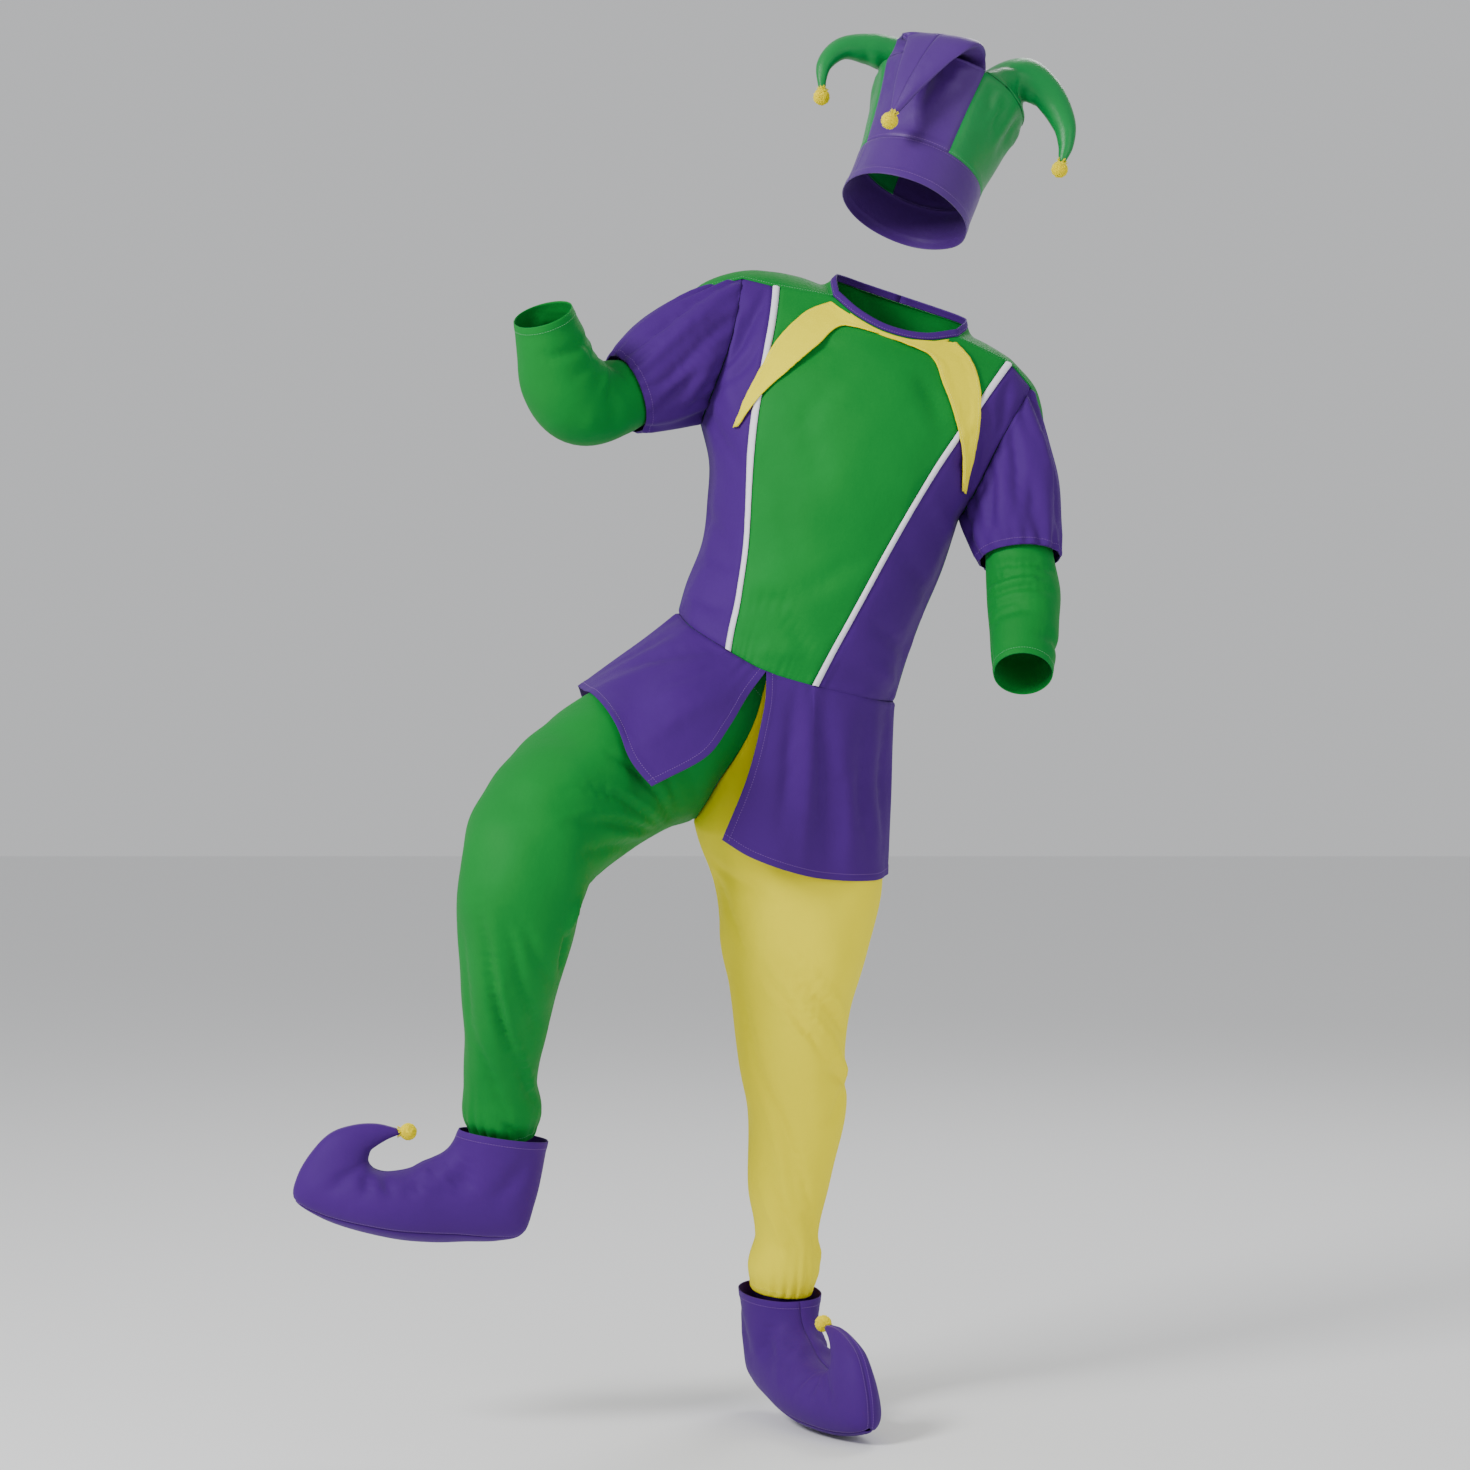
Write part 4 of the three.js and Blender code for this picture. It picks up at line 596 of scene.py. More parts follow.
# ---------------------------------------------------------------- Collar points
# Two long yellow leaves, each of two layers turned out and topstitched, in the front neckline.
COLLAR_RIGHT = table("at outerX outerZ innerX innerZ",
    (0, -88, -33, -14, -57), (0.2, -116, -58, -64, -62), (0.4, -139, -104, -86, -97),
    (0.65, -150, -158, -111, -140), (0.85, -156, -200, -138, -188), (1, -158, -236, -153, -233))
COLLAR_LEFT = table("at outerX outerZ innerX innerZ",
    (0, 88, -33, 6, -58), (0.2, 116, -52, 60, -64), (0.4, 138, -86, 87, -95),
    (0.65, 150, -132, 114, -131), (0.85, 156, -180, 139, -174), (1, 159, -222, 154, -219))
COLLAR_LIFT = 3.2
flat_rows, flat_cols = np.linspace(0, 12, 73), np.linspace(0, 18, 109)
front_grid = front(flat_rows, flat_cols)
front_out, _ = outward(front_grid, BODY)


def on_front(x, z, lift):
    """The point of the front that lies straight behind x, z, lifted out of the cloth."""
    gap = np.hypot(front_grid[..., 0] - x, front_grid[..., 2] - z)
    near = np.argsort(gap.ravel())[:6]
    weight = 1 / (gap.ravel()[near] + 0.5) ** 2
    weight /= weight.sum()
    depth = (front_grid.reshape(-1, 3)[near, 1] * weight).sum()
    way = (front_out.reshape(-1, 3)[near] * weight[:, None]).sum(axis=0)
    return np.array([x, depth, z]) + unit(way) * lift


def collar(rows):
    place = columns_of(rows)
    lines = []
    for at in spaced(0, 1, 40, 190, (1, 0)):
        line = []
        for share in spaced(0, 1, 10, 42):
            x, z = [float(place["outer" + axis](at) * (1 - share) + place["inner" + axis](at) * share)
                    for axis in "XZ"]
            line.append(on_front(x, z, COLLAR_LIFT))
        lines.append(line)
    return np.array(lines)


for node, rows in [("collar_point_right", COLLAR_RIGHT), ("collar_point_left", COLLAR_LEFT)]:
    cloth(node, collar(rows), "yellow", LEAN, edged(hem="left right"), BODY, swell=0.3,
          wall=2.0,
          stitched=[("left", 4), ("right", 4)], seed=6)

# A narrow folded strip joins the two points along the front of the neckline
STRIP_LIFT = 2.4
strip_edge = front_top(np.linspace(7.2, 11.6, 41))
strip = [[on_front(float(x), float(z) - drop, STRIP_LIFT) for x, _, z in strip_edge]
         for drop in (3.2, 4.4, 6, 7.6, 8.8)]
cloth("collar_strip", np.array(strip)[::-1], "yellow", LEAN, {}, BODY, swell=0, wall=1.4,
      covers=False, seed=9)

# ---------------------------------------------------------------- Sleeve puffs
# A short full purple sleeve, eased into the armhole and drawn into a narrow hem above the elbow.
PUFF_FULLNESS = 13
HEM_DRAW = 3
FRONT_WAY = np.array([0, -1.0, 0])


def armhole(front_edge, head, back_edge):
    return np.concatenate([curve(front_edge)(np.linspace(6, 12, 49)), head[1:],
                           curve(back_edge)(np.linspace(12, 6, 49))])


PUFFS = {
    "right": dict(at=(-313, -46, -234), wide=112, deep=112, aim=(-0.69, -0.4, -0.6), side=-1,
                  loop=armhole(ARMHOLE_FRONT_RIGHT, head_right(np.linspace(3, 0, 17)),
                               ARMHOLE_BACK_RIGHT)),
    "left": dict(at=(260, -35, -281), wide=110, deep=112, aim=(0.33, -0.33, -0.88), side=1,
                 loop=armhole(ARMHOLE_FRONT_LEFT, head_left(np.linspace(23, 26, 17)),
                              ARMHOLE_BACK_LEFT)),
}


def along_loop(loop, shares):
    known = run_along(loop)
    return between(loop, known / known[-1], shares)


def ring_ways(aim, side):
    aim = unit(aim)
    facing = unit(FRONT_WAY - aim * (FRONT_WAY @ aim))
    return facing, np.cross(aim, facing) * side


def puff(hem, rows, shares):
    facing, inner = ring_ways(np.array(hem["aim"]), hem["side"])
    turn = 2 * np.pi * shares[:, None]
    spoke = inner * hem["wide"] / 2 * np.cos(turn) + facing * hem["deep"] / 2 * np.sin(turn)
    end = np.array(hem["at"]) + spoke
    out = spoke / norm(spoke, axis=1, keepdims=True)
    start = along_loop(hem["loop"], shares)
    made = []
    for down in rows:
        full = PUFF_FULLNESS * np.sin(np.pi * down) * np.sin(np.pi * shares) ** 0.7
        wave = 2.2 * np.sin(12 * np.pi * shares) * np.sin(np.pi * down)
        draw = HEM_DRAW * np.clip(down * 7 - 6, 0, 1)
        made.append(start * (1 - down) + end * down + out * (full + wave - draw)[:, None])
    return np.array(made)


PUFF_FOLDS_RIGHT = folds(
    (95, 20, 10, 30, 9, -3.4), (95, 30, 20, 36, 8, 2.6), (98, 38, 15, 42, 9, -3.4),
    (90, 47, 25, 47, 9, 2.4), (95, 12, 35, 20, 8, -2.8), (90, 60, 10, 58, 10, -3.2),
    (90, 75, 20, 70, 10, -3), (90, 88, 30, 82, 9, 2.6), (50, 10, 20, 22, 9, 2.6))
PUFF_FOLDS_LEFT = folds(
    (10, 20, 80, 14, 9, -3), (5, 30, 70, 26, 9, -3.2), (5, 38, 60, 40, 8, 2.6),
    (95, 30, 50, 32, 8, -2.8), (95, 44, 40, 42, 8, -3), (10, 55, 80, 60, 10, -3),
    (10, 70, 75, 72, 10, 2.8), (95, 82, 40, 80, 9, -3), (30, 8, 60, 2, 9, -2.6))
for (side, hem), creases in zip(PUFFS.items(), [PUFF_FOLDS_RIGHT, PUFF_FOLDS_LEFT]):
    grid = puff(hem, spaced(0, 1, 34, 120), spaced(0, 1, 120, 480, (0, 0)))
    cloth("sleeve_puff_" + side, grid, "purple", LEAN,
          edged(seam="bottom", hem="top", flat_seam="left right"), None, creases,
          drawn=[("bottom", 19, 3.6, 44), ("top", 17, 3.6, 40)],
          stitched=[("top", 9.5)], swell=1.2, seed=7)

# ---------------------------------------------------------------- Lower sleeves
# Close green sleeves from under the puffs to the wrists, with a turned and stitched cuff hem.
FOREARM_RIGHT = table("at x y z wide deep",
    (0, -296, -34, -219, 84, 86), (0.2, -327, -60, -247, 102, 102), (0.42, -362, -95, -263, 122, 108),
    (0.62, -392, -122, -247, 118, 104), (0.8, -416, -143, -216, 98, 96), (1, -441, -165, -179, 78, 86))
FOREARM_LEFT = table("at x y z wide deep",
    (0, 256, -31, -270, 90, 92), (0.25, 277, -52, -322, 97, 99), (0.5, 290, -74, -362, 93, 95),
    (0.75, 299, -99, -398, 87, 90), (1, 306, -125, -430, 76, 84))
ARM_FOLDS_RIGHT = folds(
    (40, 40, 46, 78, 11, -4), (58, 34, 62, 72, 12, -3.6), (50, 30, 54, 62, 8, 2.8),
    (30, 10, 42, 30, 9, -2), (44, 90, 50, 75, 9, -2), (40, 12, 50, 24, 8, 1.6),
    (70, 30, 74, 66, 9, -2.6), (84, 20, 80, 60, 8, -2.2), (90, 70, 86, 98, 8, -2),
    (20, 30, 30, 52, 9, -2.6))
ARM_FOLDS_LEFT = folds(
    (16, 6, 22, 40, 8, -3.2), (28, 2, 32, 34, 8, -3.4), (40, 4, 40, 36, 8, -3.2),
    (50, 2, 54, 30, 8, -2.8), (34, 5, 36, 34, 7, 2.6), (62, 4, 60, 30, 8, -2.4),
    (30, 60, 40, 90, 10, -2.8), (60, 62, 66, 92, 10, -2.6), (80, 30, 76, 60, 9, -2))


def ring_path(rows, places, side):
    """Rings along a bent path: middles, and the ways across and forward, for each place."""
    place = columns_of(rows)
    rings = []
    for at in places:
        aim = point_at(place, min(at + 0.01, 1)) - point_at(place, max(at - 0.01, 0))
        facing, inner = ring_ways(aim, side)
        sizes = {name: float(value(at)) for name, value in place.items() if name not in "xyz"}
        rings.append(dict(middle=point_at(place, at), facing=facing, inner=inner, **sizes))
    return rings


def on_ring(ring, turn):
    return (ring["middle"] + np.outer(np.cos(turn), ring["inner"] * ring["wide"] / 2)
            + np.outer(np.sin(turn), ring["facing"] * ring["deep"] / 2))


ELBOW_PASSES = 70
for side, rows, way, creases in [("right", FOREARM_RIGHT, -1, ARM_FOLDS_RIGHT),
                                 ("left", FOREARM_LEFT, 1, ARM_FOLDS_LEFT)]:
    turn = np.linspace(0, 2 * np.pi, 97)
    grid = np.array([on_ring(ring, turn) for ring in ring_path(rows, spaced(0, 1, 52, 260), way)])
    length = lengths_along(grid, 0)[-1]
    inside = smooth_step((length.mean() - length) / (length.mean() - length.min()) + 0.15)
    for _ in range(ELBOW_PASSES):  # cloth evens out inside the bend of the elbow
        grid[1:-1] += 0.5 * ((grid[:-2] + grid[2:]) / 2 - grid[1:-1]) * inside[None, :, None]
    cloth("sleeve_lower_" + side, grid, "green", LEAN, edged(hem="top", flat_seam="left right"),
          None, creases, drawn=[("bottom", 9, 1.0, 14)],
          stitched=[("top", 9.5)], seed=8)

# ---------------------------------------------------------------- Trousers
# Two legs of one piece each, green and yellow, joined in the centre seam, with an elastic
# casing folded at the waist and a gathered elastic hem at each ankle.
LEG_RIGHT = table("at x y z wide deep open",
    (0, -167, -8, -503, 286, 196, 90), (0.1, -208, -14, -548, 288, 204, 82),
    (0.2, -286, -42, -584, 240, 204, 42), (0.3, -358, -84, -614, 206, 196, 0),
    (0.42, -425, -150, -660, 200, 190, 0), (0.54, -480, -232, -722, 178, 174, 0),
    (0.62, -497, -258, -778, 164, 164, 0), (0.7, -504, -255, -838, 148, 150, 0),
    (0.78, -513, -232, -898, 127, 132, 0), (0.87, -524, -197, -972, 108, 112, 0),
    (0.94, -530, -160, -1040, 94, 98, 0), (0.975, -529, -140, -1082, 102, 102, 0),
    (1, -529, -131, -1114, 78, 76, 0))
LEG_LEFT = table("at x y z wide deep open",
    (0, -167, -8, -503, 286, 196, 90), (0.1, -190, -4, -572, 306, 212, 88),
    (0.18, -176, 0, -638, 272, 216, 60), (0.3, -150, 0, -712, 256, 208, 0),
    (0.38, -138, 2, -777, 232, 198, 0), (0.48, -141, 5, -865, 200, 180, 0),
    (0.58, -146, 10, -950, 163, 160, 0), (0.67, -146, 15, -1011, 147, 148, 0),
    (0.76, -140, 25, -1092, 133, 130, 0), (0.88, -150, 40, -1202, 109, 112, 0),
    (0.95, -151, 50, -1275, 88, 92, 0), (0.98, -156, 54, -1316, 98, 100, 0),
    (1, -160, 57, -1350, 80, 82, 0))
CENTRE_SEAM_FRONT = edge_line(
    (0, -180, -103, -506), (1.6, -195, -106, -562), (3, -216, -98, -605), (4.5, -248, -72, -652),
    (6, -278, -18, -698))
CENTRE_SEAM_BACK = edge_line(
    (0, -168, 90, -500), (2, -202, 108, -570), (4, -240, 88, -640), (6, -278, -18, -698))
SEAT_ROWS = 6
LEG_ROWS = 15
CROTCH_AT = 0.3
CROTCH_FADE = 0.13
SEAM_REACH = 0.34
INSEAM_APART = 2


def leg(rows, side, places, shares):
    front_seam, back_seam = curve(CENTRE_SEAM_FRONT), curve(CENTRE_SEAM_BACK)
    at = np.where(places <= SEAT_ROWS, CROTCH_AT * places / SEAT_ROWS,
                  CROTCH_AT + (1 - CROTCH_AT) * (places - SEAT_ROWS) / LEG_ROWS)
    crotch = on_ring(ring_path(rows, [CROTCH_AT], side)[0], np.array([0.0]))[0]
    near_front = np.maximum(1 - shares / SEAM_REACH, 0)[:, None] ** 2
    near_back = np.maximum(1 - (1 - shares) / SEAM_REACH, 0)[:, None] ** 2
    lines = []
    for row, place, ring in zip(places, at, ring_path(rows, at, side)):
        open_by = math.radians(max(ring["open"], 0)) if row < SEAT_ROWS else 0
        line = on_ring(ring, open_by + (2 * np.pi - 2 * open_by) * shares)
        keep = max(1 - max(place - CROTCH_AT, 0) / CROTCH_FADE, 0) ** 2
        seam_row = np.array([min(row, SEAT_ROWS)])
        past = row > SEAT_ROWS
        apart = ring["inner"] * INSEAM_APART * min(max(row - SEAT_ROWS, 0), 1)
        to_front = front_seam(seam_row)[0] - (crotch if past else line[0]) - apart
        to_back = back_seam(seam_row)[0] - (crotch if past else line[-1]) - apart
        lines.append(line + to_front * near_front * keep + to_back * near_back * keep)
    return np.array(lines)


# A fan runs from the crotch over the raised thigh, long folds slant down the shins, and the
# backs of the knees are bunched
LEG_FOLDS_RIGHT = folds(
    (31, 4, 40, 28, 7, -2.6), (32.5, 4, 44, 21, 6, 2), (33, 4, 50, 27, 7, -2.6),
    (34, 4, 54, 23, 6, 2), (35, 4, 52, 18, 7, -2.8), (37, 4, 50, 13, 6, 1.8),
    (41, 3, 56, 12, 8, -2.6), (30, 6, 33, 28, 8, -1.6), (60, 5, 66, 10, 8, 3.2),
    (64, 10, 70, 5, 8, -3.8), (63, 26, 72, 8, 9, -2.4), (62, 36, 86, 20, 9, -2.8),
    (64, 32, 84, 17, 7, 2), (63, 29, 79, 12, 8, -2.8), (74, 29, 94, 6, 9, -3),
    (76, 25, 93, 4, 6, 2.2), (80, 36, 95, 20, 8, -1.8), (94, 28, 98, 18, 6, -2),
    (66, 44, 84, 36, 10, -1.8), (32, 96, 46, 76, 10, -3.2), (34, 94, 50, 82, 8, 2.4),
    (51, 97, 53, 78, 9, -3.6), (54, 97, 58, 80, 8, 2.8), (57, 97, 62, 82, 9, -3.4),
    (64, 60, 84, 82, 9, -3), (68, 56, 88, 78, 7, 2.4), (76, 56, 92, 74, 8, -2.8),
    (88, 94, 93, 70, 7, -2.4), (91, 95, 95, 75, 6, 2.2))
LEG_FOLDS_LEFT = folds(
    (30, 5, 38, 20, 10, -2), (33, 4, 46, 13, 9, -1.8), (46, 20, 59, 46, 6, -2.4),
    (47.5, 19, 61, 42, 5, 2), (49, 18, 62, 36, 6, -2.4), (50.5, 17, 60, 32, 5, 1.7),
    (44, 22, 56, 45, 6, 1.6), (60, 38, 67, 50, 7, 3), (64, 36, 68, 52, 7, -3),
    (67, 46, 72, 36, 8, -2), (63, 14, 84, 30, 8, -2.6), (66, 13, 87, 27, 6, 2),
    (72, 22, 86, 37, 7, -2.4), (79, 15, 92, 31, 8, -2.6), (82, 12, 94, 26, 6, 1.9),
    (86, 32, 93, 45, 7, -2.4), (90, 40, 94, 50, 7, 2.8), (52, 10, 70, 16, 9, -1.8),
    (56, 60, 72, 84, 9, -3.2), (60, 58, 76, 80, 7, 2.4), (66, 56, 82, 84, 9, -3.2),
    (74, 56, 88, 84, 8, 2.4), (82, 56, 94, 80, 8, -3), (36, 94, 50, 80, 10, -2.6),
    (55, 95, 60, 78, 8, -2.8), (58, 95, 64, 80, 7, 2.2))
for side, rows, way, colour, creases in [("right", LEG_RIGHT, -1, "green", LEG_FOLDS_RIGHT),
                                         ("left", LEG_LEFT, 1, "yellow", LEG_FOLDS_LEFT)]:
    places = np.concatenate([spaced(0, 6, 44, 250, (1, 0)), spaced(6, 21, 168, 760, (0, 1))[1:]])
    grid = leg(rows, way, places, spaced(0, 1, 150, 560))
    cloth("leg_" + side, grid, colour, Matrix.Identity(4),
          edged(seam="left right", hem="bottom top"), None, creases,
          drawn=[("bottom", 24, 2.0, 30), ("top", 18, 3.0, 30)],
          stitched=[("bottom", 30), ("top", 9)], swell=1.6, seed=11)

# ---------------------------------------------------------------- Peplum
# Two front flaps that part at the centre and a back, all sewn to the waist seam, with narrow
# turned hems. The right flap lies on the raised thigh.
SIDE_HEM_RIGHT = edge_line(
    (0, -157, 0, -491), (2, -191, 2, -540), (3.5, -222, 2, -582), (5, -255, 0, -628))
SLIT_RIGHT = edge_line(
    (0, -18, -122, -532), (1, -31, -137, -570), (2.2, -42, -168, -618), (3.4, -58, -204, -664),
    (5, -113, -240, -722))
HEM_RIGHT = edge_line(
    (0, -255, 0, -628), (1.5, -240, -72, -633), (3, -214, -136, -648), (5, -180, -190, -672),
    (7, -146, -224, -702), (9, -113, -240, -722))
SIDE_HEM_LEFT = edge_line(
    (0, 161, 0, -515), (1.5, 179, 3, -578), (3, 199, 3, -646), (5, 224, 0, -741))
SLIT_LEFT = edge_line(
    (0, -18, -122, -532), (1, -6, -133, -577), (3, 1, -143, -670), (5, -5, -147, -762))
HEM_LEFT = edge_line(
    (9, -5, -147, -762), (11, 36, -146, -772), (13, 88, -134, -775), (15, 140, -105, -771),
    (17, 200, -45, -756), (18, 224, 0, -741))
HEM_BACK = edge_line(
    (0, -255, 0, -628), (3, -238, 68, -650), (7, -160, 130, -690), (13, -10, 152, -728),
    (19, 128, 122, -745), (23, 204, 62, -748), (26, 224, 0, -741))
HIPS = (0, 0, -620)
REST_GAP = 5
lean = np.array(LEAN)[:3, :3]
leg_rings = ring_path(LEG_RIGHT, np.arange(36) / 60, -1) + ring_path(LEG_LEFT, np.arange(36) / 60, 1)
ring_middles = np.array([ring["middle"] for ring in leg_rings])


def off_legs(grid):
    """The peplum lies on the trousers: a point that would be in a leg goes straight out of it."""
    flat = grid.reshape(-1, 3) @ lean.T
    nearest = norm(flat[:, None] - ring_middles[None], axis=2).argmin(axis=1)
    for k, near in enumerate(nearest):
        ring = leg_rings[near]
        spoke = flat[k] - ring["middle"]
        reach = math.hypot(spoke @ ring["inner"] / (ring["wide"] / 2 + REST_GAP),
                           spoke @ ring["facing"] / (ring["deep"] / 2 + REST_GAP))
        if reach < 1:
            flat[k] = ring["middle"] + spoke / reach
    push = (flat @ lean).reshape(grid.shape) - grid
    push[0] = 0
    for _ in range(10):
        wide = np.pad(push, ((1, 1), (1, 1), (0, 0)), mode="edge")
        push[1:] = ((wide[:-2, 1:-1] + wide[2:, 1:-1] + wide[1:-1, :-2] + wide[1:-1, 2:]) / 4)[1:]
    return grid + push


side_right, side_left = curve(SIDE_HEM_RIGHT), curve(SIDE_HEM_LEFT)
DOWN = spaced(0, 5, 36, 240)
cols = spaced(0, 9, 56, 230)
flap = fill(waist_front, curve(HEM_RIGHT), side_right, curve(SLIT_RIGHT), DOWN, cols, (0, 5), (0, 9))
bow = 14 * np.sin(np.pi * cols / 9)[None] * np.sin(np.pi * DOWN / 5)[:, None]
flap_right = off_legs(flap + bow[..., None] * np.array([-0.3, -1, 0.4]))
cols = spaced(9, 18, 56, 240)
flap_left = off_legs(fill(waist_front, curve(HEM_LEFT), curve(SLIT_LEFT), side_left, DOWN, cols,
                          (0, 5), (9, 18)))
cols = spaced(0, 26, 110, 560)
skirt = fill(waist_back, curve(HEM_BACK), side_right, side_left, DOWN, cols, (0, 5), (0, 26))
sway = np.sin(np.pi * cols / 26) * np.cos(6 * np.pi * cols / 26)
skirt[..., 1] += 5 * sway[None] * (DOWN / 5)[:, None]
FLAP_FOLDS_RIGHT = folds(
    (5, 50, 70, 30, 13, -2.4), (5, 70, 60, 62, 12, -2), (10, 25, 80, 12, 13, -2.4),
    (30, 85, 90, 80, 12, 2), (40, 45, 95, 45, 16, 2))
FLAP_FOLDS_LEFT = folds(
    (4, 20, 80, 22, 12, -2.6), (4, 42, 90, 45, 13, -2.8), (4, 66, 90, 70, 13, -2.8),
    (10, 32, 95, 33, 12, 2.2), (10, 55, 95, 58, 12, 2.2), (5, 85, 90, 88, 12, -2.4))
SKIRT_FOLDS = folds(
    (4, 8, 85, 6, 14, -2.6), (4, 20, 70, 18, 15, 2.2), (6, 32, 95, 30, 16, -3),
    (5, 47, 75, 49, 14, 2), (4, 60, 90, 63, 17, -3.2), (8, 74, 65, 76, 14, 2.4),
    (5, 88, 90, 91, 14, -2.4))
cloth("peplum_front_right", flap_right, "purple", LEAN,
      edged(seam="bottom", flat_seam="left", hem="right top"), HIPS, FLAP_FOLDS_RIGHT,
      drawn=[("bottom", 9, 1.2, 22)],
      stitched=[("top", 9), ("right", 9)], seed=13)
cloth("peplum_front_left", flap_left, "purple", LEAN,
      edged(seam="bottom", hem="left top", flat_seam="right"), HIPS, FLAP_FOLDS_LEFT,
      drawn=[("bottom", 10, 1.2, 24)],
      stitched=[("top", 9), ("left", 9)], seed=14)
cloth("peplum_back", off_legs(skirt), "purple", LEAN,
      edged(seam="bottom", flat_seam="left right", hem="top"), HIPS, SKIRT_FOLDS,
      drawn=[("bottom", 24, 1.2, 26)],
      stitched=[("top", 9)], swell=2.0, seed=15)

# ---------------------------------------------------------------- Boot covers
# Purple satin covers with a seam over the curled toe, two sides and a sole, stitched along
# the sole's edge, and a turned hem round the ankle.
BOOT_RUNGS = table("at outerX outerZ innerX innerZ wide",
    (0, -57, -9, 58, 8, 110), (1, -49, -53, 69, -12, 98), (2, -39, -92, 79, -22, 93),
    (3, -25, -130, 91, -28, 90), (4, 8, -139, 105, -34, 92), (5, 52, -139, 121, -42, 97),
    (6, 92, -139, 138, -46, 101), (7, 142, -134, 155, -47, 101), (8, 199, -120, 168, -44, 93),
    (9, 243, -103, 175, -38, 80), (10, 274, -80, 178, -31, 66), (11, 271, -52, 177, -24, 56),
    (12, 254, -22, 174, -17, 47), (13, 229, 4, 167, -12, 38), (14, 199, 15, 160, -8, 27),
    (15, 169, 17, 150, -3, 17), (16, 142, 11, 136, 2, 9))


def placed(at, turn, dip):
    return (Matrix.Translation(at) @ Matrix.Rotation(math.radians(turn), 4, "Z")
            @ Matrix.Rotation(math.radians(dip), 4, "Y"))


BOOTS = [("right", placed((-528, -134, -1112), 188, 0)), ("left", placed((-162, 56, -1349), -62, 15))]
FIRST_SOLE_RUNG, LAST_SOLE_RUNG = 3, 10
SOLE_ANGLE = 48
boot_rung = columns_of(BOOT_RUNGS)


def boot_ring(rung, angle):
    outer, inner = [np.array([boot_rung[line + "X"](rung), 0, boot_rung[line + "Z"](rung)], float)
                    for line in ("outer", "inner")]
    line = (outer + inner) / 2 + np.outer(np.cos(angle), (outer - inner) / 2)
    line[:, 1] += boot_rung["wide"](rung) / 2 * np.sign(np.sin(angle)) * abs(np.sin(angle)) ** 0.85
    return line


def sole_angle(rung):
    share = np.clip((rung - FIRST_SOLE_RUNG) / (LAST_SOLE_RUNG - FIRST_SOLE_RUNG), 0, 1)
    return math.radians(SOLE_ANGLE) * np.sin(np.pi * share) ** 0.6


BOOT_FOLDS = folds(
    (10, 75, 30, 55, 10, -3.4), (16, 80, 36, 70, 9, 2.6), (22, 85, 42, 60, 10, -3.2),
    (5, 30, 20, 45, 10, -2.4), (30, 90, 40, 45, 9, 2), (62, 80, 58, 45, 8, -2.4),
    (70, 80, 68, 40, 8, -2.2), (50, 85, 50, 50, 9, -2.4))
for side, place in BOOTS:
    for half, way in [("outer", 1), ("inner", -1)]:
        grid = []
        for rung in spaced(0, 16, 84, 600, (1, 0)):
            angle = np.interp(spaced(0, 1, 26, 130), [0, 1], [float(sole_angle(rung)), math.pi])
            grid.append(boot_ring(rung, way * angle))
        cloth(f"boot_{half}_{side}", np.array(grid), "purple", place,
              edged(hem="bottom", seam="left right"), None, BOOT_FOLDS,
              swell=0.9,
              stitched=[("bottom", 9.5), ("left", 4)], seed=17)
    grid = [boot_ring(rung, float(sole_angle(rung)) * np.linspace(-1, 1, 21))
            for rung in np.linspace(FIRST_SOLE_RUNG + 0.1, LAST_SOLE_RUNG - 0.1, 49)]
    cloth("boot_sole_" + side, np.array(grid), "purple", place, edged(flat_seam="left right"),
          swell=0.4, seed=18)

# ---------------------------------------------------------------- Hat
# A purple band, four crown panels and a hollow horn on each, purple and green by turns,
# of shinier satin. The front horn has dropped over the front, the others droop outwards.
HAT_RINGS = table("at x y",
    (0, 88, 98), (61, 88, 96), (130, 95, 101), (192, 106, 108))
HAT_PLACE = (Matrix.Translation((7, -15, 124)) @ Matrix.Rotation(math.radians(21.6), 4, "Y")
             @ Matrix.Rotation(math.radians(-16), 4, "X"))
BAND_HEIGHT, CROWN_HEIGHT = 61, 186
PANEL_TURN = -72.4
HORNS = {
    "front": table("at x y z wide deep",
        (0, -24, -48, 188, 96, 140), (0.16, -30, -78, 203, 20, 126), (0.34, -38, -120, 196, 18, 106),
        (0.53, -47, -131, 166, 15, 78), (0.78, -56, -130, 116, 12, 42), (1, -61, -126, 66, 7, 8)),
    "left": table("at x y z wide deep",
        (0, 49, -25, 192, 128, 96), (0.2, 80, -35, 228, 66, 60), (0.42, 120, -44, 220, 46, 38),
        (0.65, 156, -46, 188, 32, 26), (0.83, 170, -44, 160, 20, 17), (1, 173, -42, 134, 8, 7)),
    "back": table("at x y z wide deep",
        (0, 24, 48, 192, 128, 96), (0.22, 26, 52, 228, 66, 76), (0.42, 34, 68, 256, 44, 60),
        (0.64, 40, 104, 262, 30, 38), (0.83, 44, 134, 228, 18, 22), (1, 46, 138, 188, 7, 8)),
    "right": table("at x y z wide deep",
        (0, -49, 25, 190, 128, 96), (0.2, -82, 28, 224, 62, 56), (0.42, -128, 20, 218, 42, 36),
        (0.63, -163, 12, 200, 32, 26), (0.82, -177, 6, 164, 22, 18), (1, -167, 4, 126, 8, 7)),
}
hat_ring = columns_of(HAT_RINGS)


def hat_point(degrees, height):
    angle = np.radians(np.atleast_1d(degrees))
    x, y = hat_ring["x"](height), hat_ring["y"](height)
    high = np.full(len(angle), float(height))
    return np.stack([x * np.sin(angle), -y * np.cos(angle), high], axis=1)


